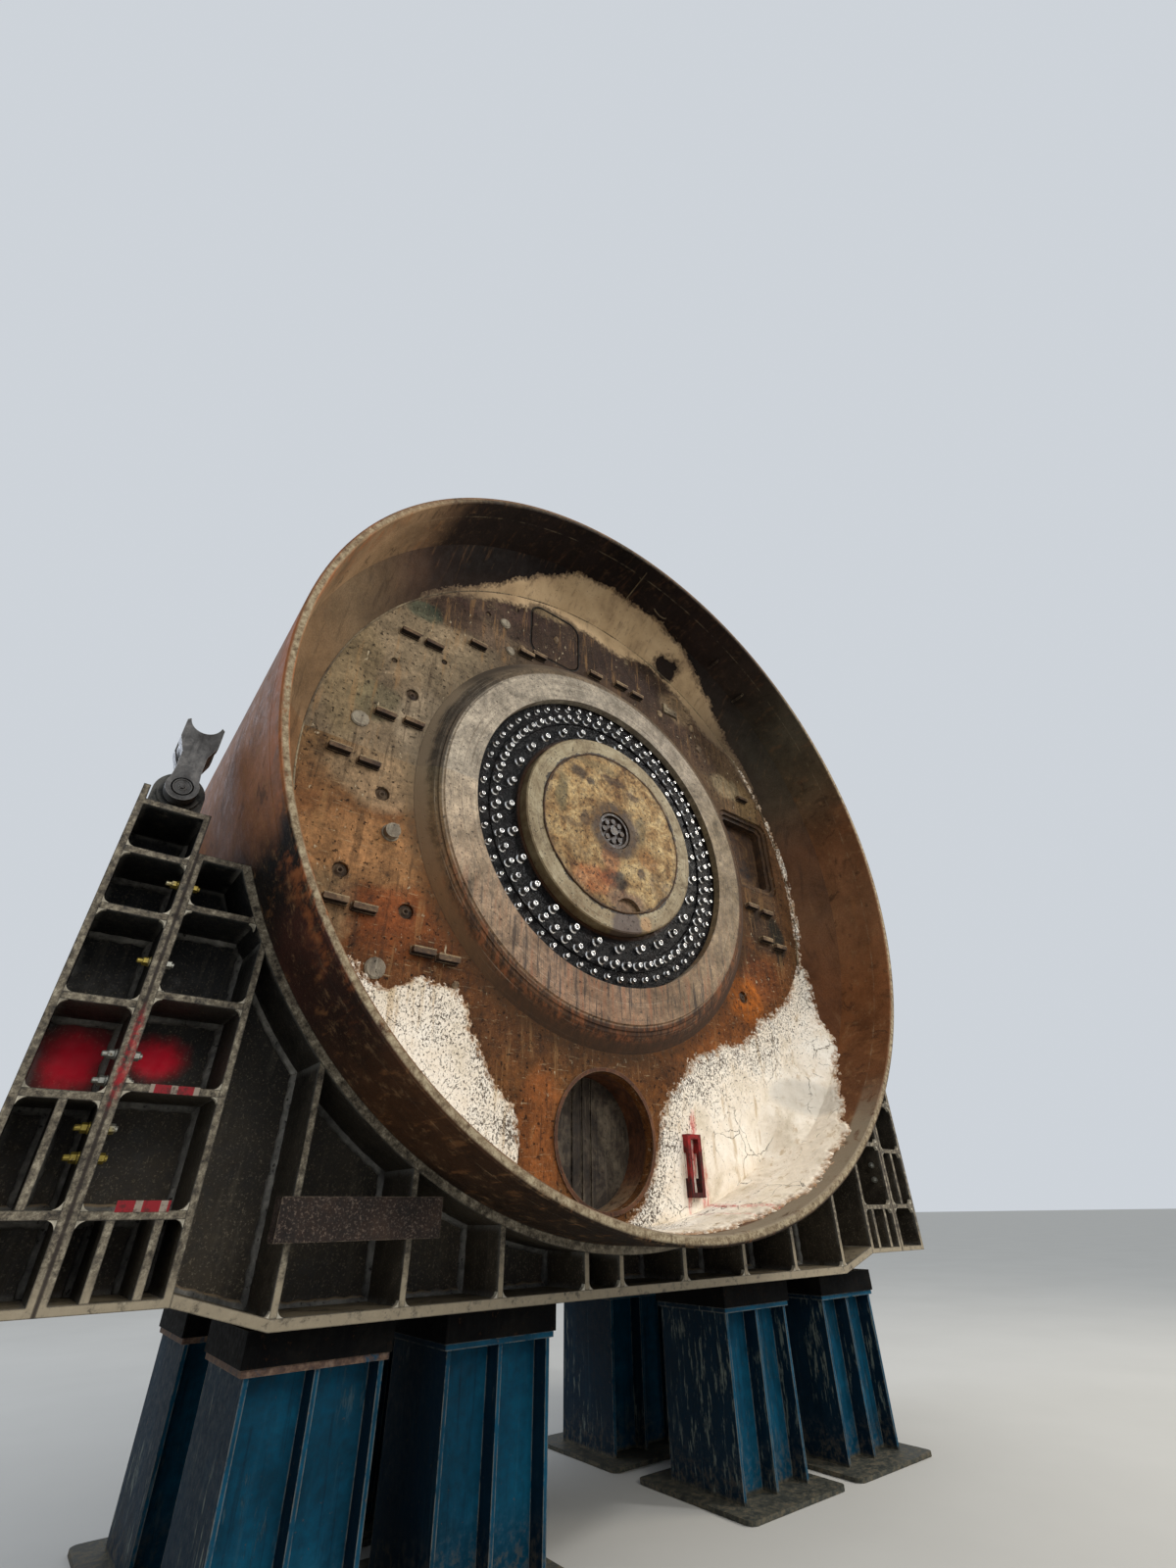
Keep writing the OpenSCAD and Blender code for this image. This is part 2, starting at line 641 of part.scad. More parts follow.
module outer_columns(y) color(cradle_black) in_shield(y) both_sides() {
    linear_extrude(frame_w) outer_flanges();
    translate([0, 0, web_in]) linear_extrude(web_t)
        translate([seam_x, foot_z]) square([outer_col_w, -outer_top - foot_z]);
}

// Cross plates between the flanges of the inner and outer columns
flange_room = plate_t + weld_gap;
module shelves(y) color(cradle_black) in_shield(y) both_sides() beside_web(weld_gap) {
    intersection() {
        inner_outline();
        for (z = inner_rows) translate([inner_x + flange_room, -z - plate_t / 2])
            square([inner_col_w - 2 * flange_room, plate_t]);
    }
    for (z = outer_rows) translate([seam_x + flange_room, -z - plate_t / 2])
        square([outer_col_w - 2 * flange_room, plate_t]);
}

// Upright ribs between the lowest cross plates and at the columns' feet
module foot_ribs() color(cradle_black) for (y = [front_frame_y, rear_frame_y])
    in_shield(y) both_sides() beside_web(weld_gap) {
        for (x = inner_foot_ribs) translate([inner_x + x, foot_z + flange_room])
            square([plate_t, -inner_rows[3] - plate_t / 2 - foot_z - flange_room - weld_gap]);
        translate([seam_x + outer_rib - plate_t / 2, -outer_rows[4] + plate_t / 2 + weld_gap])
            square([plate_t, outer_rows[4] - outer_rows[3] - plate_t - 2 * weld_gap]);
    }

// Box beams from the front web to the rear web
//       x     z     width height
ties = [[1970, -3170, 300, 440], [3416, -1892, 200, 200], [3416, -3160, 200, 180]];
tie_y = front_frame_y + web_in + web_t;
tie_len = rear_frame_y + web_in - tie_y;
module tie_beams() color(cradle_black) in_shield(tie_y) both_sides() for (t = ties)
    translate([t[0] - t[2] / 2, t[1] - t[3] / 2]) cube([t[2], t[3], tie_len]);

cross_box_x = [-2390, -1520];
cross_box_z = [-3120, -2930];
cross_box_d = 100;
module cross_box() color("#3a302a") in_shield(front_frame_y - cross_box_d)
    translate([cross_box_x[0], cross_box_z[0]])
        cube([cross_box_x[1] - cross_box_x[0], cross_box_z[1] - cross_box_z[0], cross_box_d]);

/* Lifting points */

lug_x = seam_x + outer_col_w / 2;
lug_r = 150;
lug_t = 60;
cheek_t = 25;
cheek_r = 125;
lug_base = 150;
pin_r = pin_d / 2;
pin_z = -outer_top + pin_h;
// The lug's sides run as tangents from its foot to its round head
lug_far = sqrt(lug_base * lug_base + pin_h * pin_h);
lug_tangent = acos(lug_r / lug_far) - atan2(pin_h, lug_base);
module lug_shape() difference() {
    union() {
        circle(lug_r, $fn = 96);
        polygon([[-lug_base, -pin_h], [lug_base, -pin_h],
            [lug_r * cos(lug_tangent), lug_r * sin(lug_tangent)],
            [-lug_r * cos(lug_tangent), lug_r * sin(lug_tangent)]]);
    }
    circle(pin_r + 2 * pin_gap, $fn = 64);
}

module at_pins(y) in_shield(y + frame_w / 2) translate([lug_x, pin_z]) children();

module lifting_lugs() color(cradle_black) for (y = [front_frame_y, rear_frame_y]) both_sides() at_pins(y) {
    translate([0, 0, -lug_t / 2]) linear_extrude(lug_t) lug_shape();
    for (s = [0, 1]) mirror([0, 0, s]) translate([0, 0, lug_t / 2])
        ring_plate(cheek_r, pin_r + 2 * pin_gap, cheek_t);
}

module ring_plate(ro, ri, t) difference() {
    cylinder(r = ro, h = t, $fn = 96);
    translate([0, 0, -1]) cylinder(r = ri, h = t + 2, $fn = 64);
}

jaw_w = lug_t + 2 * cheek_t + 20;
eye_t = 80;
horn_w = 115;
waist_w = 74;
crown_r = 105;
crown_z = shackle_h - 140;
// Outline of a leg: round eye, waist, and a fork with two horns at the top
module leg_shape() difference() {
    union() {
        circle(eye_d / 2, $fn = 96);
        polygon([[-waist_w - 14, 0], [waist_w + 14, 0], [waist_w, 120], [waist_w, crown_z - 120],
            [horn_w, crown_z - 10], [horn_w, shackle_h - 14], [horn_w - 16, shackle_h],
            [-horn_w + 16, shackle_h], [-horn_w, shackle_h - 14], [-horn_w, crown_z - 10],
            [-waist_w, crown_z - 120], [-waist_w, 120]]);
    }
    circle(pin_r + pin_gap, $fn = 64);
    translate([0, shackle_h + 14]) circle(96, $fn = 64);
}

module shackle(y, side) color("#8b8d8f") mirror([side, 0, 0]) at_pins(y) {
    for (s = [0, 1]) mirror([0, 0, s]) translate([0, 0, jaw_w / 2]) linear_extrude(eye_t) leg_shape();
    translate([0, crown_z, -jaw_w / 2 - 1]) cylinder(r = crown_r, h = jaw_w + 2, $fn = 64);
}

pin_head_t = 45;
module shackle_pin(y, side) color("#5d5f61") mirror([side, 0, 0]) at_pins(y) {
    translate([0, 0, -jaw_w / 2 - eye_t + 6])
        cylinder(r = pin_r, h = jaw_w + 2 * eye_t - 6 + pin_gap, $fn = 64);
    translate([0, 0, jaw_w / 2 + eye_t + pin_gap]) cylinder(r = pin_r + 28, h = pin_head_t, $fn = 6);
}

/* Stands */

// Left edges of the four stands, seen from the front
stand_x = [-2320, -1280, 950, 2110];
stand_set_back = 40;
stand_foot_w = 1000;
stand_foot_l = 1060;
stand_foot_t = 25;
stand_cap_t = 30;
fin_t = 25;
fin_out = 120;

module slab(w, l, t, r) linear_extrude(t) rounded_rect(-w / 2, w / 2, -l / 2, l / 2, r);

module stands(y) color(stand_blue) translate([0, front_y + y + frame_w / 2 + stand_set_back, 0])
    for (x = stand_x) translate([x + stand_w / 2, 0, 0]) {
        slab(stand_foot_w, stand_foot_l, stand_foot_t, 60);
        translate([0, 0, stand_h - stand_cap_t]) slab(stand_w + 40, stand_l + 40, stand_cap_t, 10);
        translate([-stand_w / 2, -stand_l / 2 + fin_out, stand_foot_t - 1])
            cube([stand_w, stand_l - 2 * fin_out, stand_h - stand_foot_t - stand_cap_t + 2]);
        for (fx = [-stand_w / 2, -fin_t / 2, stand_w / 2 - fin_t])
            translate([fx, -stand_l / 2, stand_foot_t - 1])
                cube([fin_t, stand_l, stand_h - stand_foot_t - stand_cap_t + 2]);
    }

module packing_slabs() color("#2b2622") for (y = [front_frame_y, rear_frame_y])
    translate([0, front_y + y + frame_w / 2 + stand_set_back, stand_h])
        for (x = stand_x) translate([x + stand_w / 2, 0, 0]) slab(stand_w + 60, stand_l + 60, packing_t, 8);

front_lip();
shield_skin();
rear_flange();
sloping_band();
bulkhead();
bulkhead_gussets();
seal_ring();
drive_housing();
gear_units();
drive_motors();
rear_union();
turning_ring();
main_studs();
outer_studs();
inner_studs();
hub_ring();
hub_disc();
hub_nozzles();
screw_lip();
screw_casing();
screw_gate();
manlock_frame();
manlock_door();
manlock_chamber();
hatch_hinge();
hatch_door();
wear_bars();
port_covers();
red_bracket();
skin_lugs();
base(front_frame_y);  // front_base
base_ribs(front_frame_y);  // front_base_ribs
saddle(front_frame_y);  // front_saddle
inner_columns(front_frame_y);  // front_inner_columns
outer_columns(front_frame_y);  // front_outer_columns
base(rear_frame_y);  // rear_base
base_ribs(rear_frame_y);  // rear_base_ribs
saddle(rear_frame_y);  // rear_saddle
inner_columns(rear_frame_y);  // rear_inner_columns
outer_columns(rear_frame_y);  // rear_outer_columns
shelves(front_frame_y);  // front_shelves
shelves(rear_frame_y);  // rear_shelves
foot_ribs();
tie_beams();
cross_box();
lifting_lugs();
shackle(front_frame_y, 1);  // shackle_front_left
shackle(front_frame_y, 0);  // shackle_front_right
shackle(rear_frame_y, 1);  // shackle_rear_left
shackle(rear_frame_y, 0);  // shackle_rear_right
shackle_pin(front_frame_y, 1);  // pin_front_left
shackle_pin(front_frame_y, 0);  // pin_front_right
shackle_pin(rear_frame_y, 1);  // pin_rear_left
shackle_pin(rear_frame_y, 0);  // pin_rear_right
packing_slabs();
stands(front_frame_y);  // front_stands
stands(rear_frame_y);  // rear_stands
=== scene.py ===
import math
import bpy
import bmesh
from mathutils import Matrix, Vector, noise


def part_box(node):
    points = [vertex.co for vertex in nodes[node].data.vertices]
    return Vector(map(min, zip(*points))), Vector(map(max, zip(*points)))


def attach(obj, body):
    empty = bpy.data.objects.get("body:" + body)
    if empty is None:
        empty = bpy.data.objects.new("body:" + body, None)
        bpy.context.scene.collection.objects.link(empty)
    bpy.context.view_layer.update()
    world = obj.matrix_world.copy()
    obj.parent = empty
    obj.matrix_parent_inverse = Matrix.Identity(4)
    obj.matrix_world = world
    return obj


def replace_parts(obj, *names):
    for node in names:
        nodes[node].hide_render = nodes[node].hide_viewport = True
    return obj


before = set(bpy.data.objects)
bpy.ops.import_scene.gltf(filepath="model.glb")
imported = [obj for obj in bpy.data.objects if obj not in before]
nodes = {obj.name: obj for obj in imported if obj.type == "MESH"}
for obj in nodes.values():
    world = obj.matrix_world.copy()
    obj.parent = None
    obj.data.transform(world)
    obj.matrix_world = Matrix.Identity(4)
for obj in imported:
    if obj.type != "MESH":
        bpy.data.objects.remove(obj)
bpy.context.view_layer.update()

scene = bpy.context.scene
shieldBody = "shield_in_cradle"
ringBody = "turning_ring"

lipLow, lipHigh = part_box("front_lip")
rimY = lipLow.y  # the shield's front rim; a depth is measured back from it
axisZ = (lipLow.z + lipHigh.z) / 2


def at(x, depth, z):
    return Vector((x, rimY + depth, axisZ + z))


def depthsOf(node):  # front and back of a node
    low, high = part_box(node)
    return low.y - rimY, high.y - rimY


def around(radius, angle, depth):
    turn = math.radians(angle)
    return at(radius * math.cos(turn), depth, radius * math.sin(turn))


def paint(*colour):  # a screen colour, 0 to 255, as the shader's own numbers
    return [(c / 255 / 12.92) if c < 11 else ((c / 255 + 0.055) / 1.055) ** 2.4 for c in colour] + [1.0]


wallDepth = depthsOf("bulkhead")[0]


# camera and studio

view = {"place": (-3.527, -4.931, 1.5965), "heading": 38.50, "tilt": 33.58, "roll": -0.92, "lens": 14.887}
studio = {
    "world": (222, 228, 235),
    "worldLight": 0.84,
    "floor": (196, 194, 188),
    "lights": [  # place, aimed at, size, watts, colour
        ((-1.0, -15.0, 12.0), (0, 0, 4.0), 9.0, 980, (255, 250, 240)),
        ((10.0, -7.0, 10.0), (0, 0, 3.5), 5.0, 500, (255, 244, 228)),
        ((-9.0, 9.0, 11.0), (0, 0, 4.0), 8.0, 700, (232, 240, 255)),
        ((6.9, -8.7, 10.5), (0, -0.8, 4.6), 1.1, 420, (255, 255, 255)),
    ],
}

eye = bpy.data.objects.new("camera", bpy.data.cameras.new("camera"))
scene.collection.objects.link(eye)
eye.data.sensor_width = 36.0
eye.data.lens = view["lens"]
eye.data.clip_start = 0.05
eye.data.clip_end = 1500.0
facing = (
    Matrix.Rotation(-math.radians(view["heading"]), 3, "Z")
    @ Matrix.Rotation(math.radians(90 + view["tilt"]), 3, "X")
    @ Matrix.Rotation(math.radians(view["roll"]), 3, "Z")
)
eye.matrix_world = Matrix.Translation(view["place"]) @ facing.to_4x4()
scene.camera = eye
scene.view_settings.view_transform = "Standard"

scene.world = bpy.data.worlds.new("studio")
scene.world.use_nodes = True
skyLight = scene.world.node_tree.nodes["Background"]
skyLight.inputs["Color"].default_value = paint(*studio["world"])
skyLight.inputs["Strength"].default_value = studio["worldLight"]

for number, (place, target, size, watts, colour) in enumerate(studio["lights"]):
    lamp = bpy.data.lights.new(f"softBox{number}", "AREA")
    lamp.shape = "DISK"
    lamp.size = size
    lamp.energy = watts
    lamp.color = paint(*colour)[:3]
    holder = bpy.data.objects.new(f"softBox{number}", lamp)
    holder.location = place
    holder.rotation_mode = "QUATERNION"
    holder.rotation_quaternion = (Vector(target) - Vector(place)).to_track_quat("-Z", "Y")
    scene.collection.objects.link(holder)

print("camera and lights set")


# a small helper that lays out a finish's shader nodes

class Finish:
    def __init__(self, name, rough=0.7, metal=0.0, shine=0.3):
        self.material = bpy.data.materials.new(name)
        self.material.use_nodes = True
        self.tree = self.material.node_tree
        self.shader = self.tree.nodes["Principled BSDF"]
        self.shader.inputs["Roughness"].default_value = rough
        self.shader.inputs["Metallic"].default_value = metal
        self.shader.inputs["Specular IOR Level"].default_value = shine
        self.place = self.add("ShaderNodeTexCoord").outputs["Object"]
        self.uv = self.tree.nodes[-1].outputs["UV"]
        self.x, y, z = self.split(self.place)
        self.depth = self.calc("SUBTRACT", y, rimY)
        self.z = self.calc("SUBTRACT", z, axisZ)
        self.height = z
        self.normal = self.add("ShaderNodeNewGeometry").outputs["Normal"]
        self.bumps = None

    def add(self, kind, *values, **settings):
        node = self.tree.nodes.new(kind)
        for key, value in settings.items():
            setattr(node, key, value)
        for value, socket in zip(values, node.inputs):
            self.put(value, socket)
        return node

    def put(self, value, socket):
        if isinstance(value, bpy.types.NodeSocket):
            self.tree.links.new(value, socket)
        elif value is not None:
            socket.default_value = value

    def split(self, vector):
        return self.add("ShaderNodeSeparateXYZ", vector).outputs

    def calc(self, operation, *values):
        return self.add("ShaderNodeMath", *values, operation=operation).outputs[0]

    def times(self, first, second):
        return self.calc("MULTIPLY", first, second)

    def apart(self, first, second):  # how far two values are from each other
        return self.calc("ABSOLUTE", self.calc("SUBTRACT", first, second))

    def vector(self, operation, *values):
        node = self.add("ShaderNodeVectorMath", *values, operation=operation)
        return node.outputs["Value"] if operation in ("LENGTH", "DOT_PRODUCT") else node.outputs[0]

    def mask(self, value, low, high):  # 0 at low, 1 at high
        return self.add("ShaderNodeMapRange", value, low, high, 0.0, 1.0, interpolation_type="SMOOTHSTEP").outputs[0]

    def stretch(self, x, y, z):
        return self.vector("MULTIPLY", self.place, (x, y, z))

    def noise(self, scale, detail=5.0, rough=0.6, place=None, twist=0.0, colour=False):
        node = self.add("ShaderNodeTexNoise")
        self.put(place or self.place, node.inputs["Vector"])
        for name, value in (("Scale", scale), ("Detail", detail), ("Roughness", rough), ("Distortion", twist)):
            node.inputs[name].default_value = value
        return node.outputs["Color" if colour else "Fac"]

    def spots(self, scale, detail, rough, low, high):
        return self.mask(self.noise(scale, detail, rough), low, high)

    def streaks(self, x, y, z, detail, rough):  # noise stretched by its scales along x, y and z
        return self.noise(1.0, detail, rough, place=self.stretch(x, y, z))

    def cracks(self, scale, place):  # how far the nearest crack is
        node = self.add("ShaderNodeTexVoronoi", feature="DISTANCE_TO_EDGE")
        self.put(place, node.inputs["Vector"])
        node.inputs["Scale"].default_value = scale
        return node.outputs["Distance"]

    def ramp(self, value, stops):
        node = self.add("ShaderNodeValToRGB", value)
        marks = node.color_ramp.elements
        while len(marks) < len(stops):
            marks.new(0.5)
        for mark, (spot, colour) in zip(marks, sorted(stops)):
            mark.position = spot
            mark.color = paint(*colour)
        return node.outputs["Color"]

    def blend(self, share, first, second):
        node = self.add("ShaderNodeMix", data_type="RGBA")
        for value, socket in ((share, node.inputs[0]), (first, node.inputs[6]), (second, node.inputs[7])):
            self.put(paint(*value) if isinstance(value, tuple) else value, socket)
        return node.outputs[2]

    def wander(self, far, scale, detail):  # the place, pushed about by noise
        push = self.vector("SUBTRACT", self.noise(scale, detail, 0.6, colour=True), (0.5, 0.5, 0.5))
        return self.vector("MULTIPLY_ADD", push, (far, far, far), self.place)

    def span(self, value, low, high, first, last):  # straight from one range to another
        return self.add("ShaderNodeMapRange", value, low, high, first, last).outputs[0]

    def coats(self, base, rows):  # a row: a mask or (noise, from, to), its strength, the colour, where it may lie
        for share, strength, colour, *where in rows:
            share = self.times(self.mask(*share) if isinstance(share, tuple) else share, strength)
            base = self.blend(self.times(share, where[0]) if where else share, base, colour)
        return base

    def tone(self, base, value, depth):  # darker and lighter by a noise
        level = self.span(value, 0.30, 0.70, 1 - depth, 1 + depth)
        return self.vector("MULTIPLY", base, self.add("ShaderNodeCombineXYZ", level, level, level).outputs[0])

    def upward(self):  # 1 where the surface faces up
        return self.mask(self.split(self.normal)[2], 0.45, 0.85)

    def polar(self, shift=0.0, scale=1.5):  # turn from 0 at the left through 0.5 at the right, and the radius
        z, x = self.z, self.x
        turn = self.calc("MULTIPLY_ADD", self.calc("ARCTAN2", z, x), 0.5 / math.pi, 0.5)
        if shift:
            turn = self.calc("ADD", turn, self.calc("MULTIPLY_ADD", self.noise(scale, 4), shift, -shift / 2))
        radius = self.calc("SQRT", self.calc("ADD", self.times(x, x), self.times(z, z)))
        return turn, radius

    def byAngle(self, turn, stops):  # stops: angle in degrees from the right, colour
        return self.ramp(turn, [((angle + 180) / 360, colour) for angle, colour in stops])

    def shareByAngle(self, turn, stops):  # the same for a share of 0 to 255
        greys = self.byAngle(turn, [(angle, (share,) * 3) for angle, share in stops])
        return self.add("ShaderNodeRGBToBW", greys).outputs[0]

    def patch(self, place, x, z, wide, high, soft=0.5):
        away = self.vector("SUBTRACT", place, (x, 0.0, axisZ + z))
        away = self.vector("MULTIPLY", away, (1 / wide, 0.0, 1 / high))
        return self.mask(self.vector("LENGTH", away), 1 + soft / 2, 1 - soft / 2)

    def worn(self, width, low, high, leaning=0.0):  # 1 along edges and inner corners
        soft = self.add("ShaderNodeBevel", samples=6)
        soft.inputs["Radius"].default_value = width
        turned = self.calc("SUBTRACT", 1.0, self.vector("DOT_PRODUCT", soft.outputs[0], self.normal))
        turned = self.mask(turned, low, high)
        if leaning:  # keeps the edges that lean up (1) or down (-1)
            lean = self.times(self.split(soft.outputs[0])[2], leaning)
            turned = self.times(turned, self.mask(lean, 0.10, 0.40))
        return turned

    def wornEdges(self, edge, noise):  # edges broken up by a noise
        return self.times(self.worn(*edge), self.mask(*noise))

    def bump(self, height, distance, strength=1.0):
        node = self.add("ShaderNodeBump")
        node.inputs["Strength"].default_value = strength
        node.inputs["Distance"].default_value = distance
        self.put(height, node.inputs["Height"])
        self.put(self.bumps, node.inputs["Normal"])
        self.bumps = node.outputs["Normal"]

    def relief(self, *layers):
        for layer in layers:
            self.bump(*layer)

    def done(self, colour, rough=None, metal=None):
        if isinstance(rough, tuple):  # a noise, and the roughness where it is low and high
            rough = self.span(rough[0], 0.35, 0.65, *rough[1:])
        self.put(colour, self.shader.inputs["Base Color"])
        self.put(rough, self.shader.inputs["Roughness"])
        self.put(metal, self.shader.inputs["Metallic"])
        self.put(self.bumps, self.shader.inputs["Normal"])
        return self.material


def dress(names, material):
    for name in names.split():
        for slot in nodes[name].material_slots:
            slot.material = material


# finishes of the shield

def skinFinish():
    look = Finish("weatheredSkin", shine=0.12)
    turn, radius = look.polar(0.03, 1.4)
    # inside: darker from about 40 to 135 degrees, painted shade over the top of the drum where the skin faces down
    inside = look.byAngle(turn, [
        (-180, (116, 90, 62)), (-160, (112, 80, 52)), (-140, (102, 66, 40)), (-90, (84, 60, 42)),
        (-45, (106, 68, 42)), (-20, (122, 77, 46)), (-4, (124, 87, 60)), (12, (112, 75, 50)), (26, (90, 75, 57)),
        (38, (74, 68, 56)), (52, (48, 40, 34)), (66, (36, 27, 24)), (90, (26, 19, 18)), (118, (28, 21, 19)),
        (132, (34, 25, 21)), (139, (98, 76, 57)), (144, (136, 110, 83)), (151, (144, 117, 88)),
    ])
    outside = look.byAngle(turn, [
        (-180, (120, 80, 54)), (-160, (124, 80, 52)), (-156.8, (19, 16, 15)), (-150, (22, 17, 16)),
        (-146, (60, 34, 27)), (-138, (44, 29, 23)), (-128, (70, 45, 28)), (-118, (52, 35, 23)),
        (-100, (34, 27, 21)), (-60, (58, 42, 32)), (0, (84, 60, 46)), (60, (96, 72, 55)), (120, (98, 72, 55)),
        (150, (110, 78, 56)), (172, (120, 82, 56)),
    ])
    # the top inside that carries the painted shade; the marks laid below are held back there
    shadedTop = look.shareByAngle(turn, [(24, 0), (42, 255), (128, 255), (142, 0)])
    inner = look.mask(radius, 3.172, 3.165)
    unshaded = look.calc("MULTIPLY_ADD", look.times(shadedTop, inner), -0.75, 1.0)
    base = look.blend(inner, outside, inside)
    cloud = look.noise(1.7, 9, 0.68, twist=0.5)
    grain = look.noise(10.0, 10, 0.74)
    fine = look.noise(70.0, 6, 0.72)
    drips = look.streaks(16.0, 3.0, 1.1, 7, 0.68)
    base = look.tone(base, cloud, 0.45)
    base = look.tone(base, fine, 0.3)
    blotch = look.noise(4.2, 8, 0.74, twist=0.7)
    rusty = look.shareByAngle(turn, [
        (-180, 255), (-146, 255), (-132, 0), (-30, 0), (-8, 120), (14, 120), (26, 0), (148, 0), (160, 255),
    ])
    nearRim = look.mask(look.calc("MULTIPLY_ADD", cloud, 0.5, look.depth), 0.62, 0.3)
    nearRim = look.times(nearRim, rusty)
    lowLip = look.shareByAngle(turn, [(-180, 0), (-118, 0), (-96, 255), (-50, 255), (-40, 0)])
    lowLip = look.times(lowLip, look.mask(look.depth, 0.215, 0.165))
    rimTone = look.ramp(look.noise(30.0, 8, 0.76), [
        (0.36, (84, 68, 52)), (0.48, (134, 118, 94)), (0.62, (176, 162, 134)),
    ])
    rimSide = look.shareByAngle(turn, [(-180, 255), (20, 255), (55, 120), (128, 120), (165, 255)])
    rimFace = look.times(look.mask(look.depth, 0.012, 0.004), look.mask(look.apart(radius, 3.166), 0.027, 0.01))
    rimFace = look.times(rimFace, rimSide)
    base = look.coats(base, [
        ((grain, 0.52, 0.7), 0.55, (146, 114, 82), unshaded),
        ((drips, 0.56, 0.68), 0.45, (140, 96, 60), unshaded),
        ((drips, 0.45, 0.33), 0.45, (30, 23, 20)),
        ((blotch, 0.42, 0.34), 0.55, (38, 29, 24), unshaded),
        ((drips, 0.47, 0.6), 0.6, (158, 92, 52), nearRim),
        ((blotch, 0.34, 0.48), 0.85, (138, 126, 106), look.times(lowLip, inner)),
        ((fine, 0.6, 0.74), 0.6, (28, 21, 17)),
        ((fine, 0.4, 0.3), 0.35, (176, 150, 116), unshaded),
        (look.spots(7.0, 7, 0.74, 0.3, 0.44), 0.95, rimTone, rimFace),
        (look.wornEdges((0.02, 0.03, 0.25), (grain, 0.44, 0.6)), 0.55, (150, 136, 110)),
    ])
    look.relief((cloud, 0.01, 0.6), (grain, 0.006, 0.8), (fine, 0.0018, 0.9))
    return look.done(base, (grain, 0.62, 0.92))


def bandFinish():  # the sloping band reads as one surface with the skin
    look = Finish("slopingBandSteel", shine=0.12)
    turn = look.polar(0.03, 1.4)[0]
    # darker from about 50 to 135 degrees: painted shade over the top of the drum
    base = look.byAngle(turn, [
        (-180, (112, 84, 58)), (-160, (98, 68, 44)), (-140, (92, 58, 35)), (-90, (78, 55, 38)), (-45, (92, 58, 36)),
        (-20, (92, 57, 34)), (-4, (84, 58, 39)), (12, (78, 52, 35)), (26, (66, 55, 42)), (38, (56, 51, 42)),
        (52, (40, 33, 28)), (66, (30, 24, 21)), (90, (24, 18, 17)), (127, (24, 18, 15)), (135, (40, 29, 24)),
        (141, (72, 54, 42)), (149, (98, 79, 60)), (158, (110, 91, 69)), (170, (114, 90, 65)),
    ])
    cloud = look.noise(1.7, 9, 0.68, twist=0.5)
    grain = look.noise(12.0, 10, 0.74)
    fine = look.noise(70.0, 6, 0.72)
    drips = look.streaks(18.0, 4.0, 1.2, 7, 0.68)
    base = look.tone(base, cloud, 0.4)
    base = look.tone(base, fine, 0.3)
    base = look.coats(base, [
        ((drips, 0.56, 0.7), 0.3, (120, 88, 60)),
        # darker near the wall in the upper half: painted shade under the skin
        ((look.depth, 0.7, 0.86), 0.5, (44, 33, 27), look.mask(look.z, 1.0, 1.7)),
        ((drips, 0.45, 0.34), 0.35, (36, 28, 23)),
        ((fine, 0.6, 0.74), 0.5, (28, 21, 17)),
    ])
    look.relief((cloud, 0.01, 0.6), (grain, 0.006, 0.8), (fine, 0.0018, 0.9))
    return look.done(base, (grain, 0.62, 0.92))


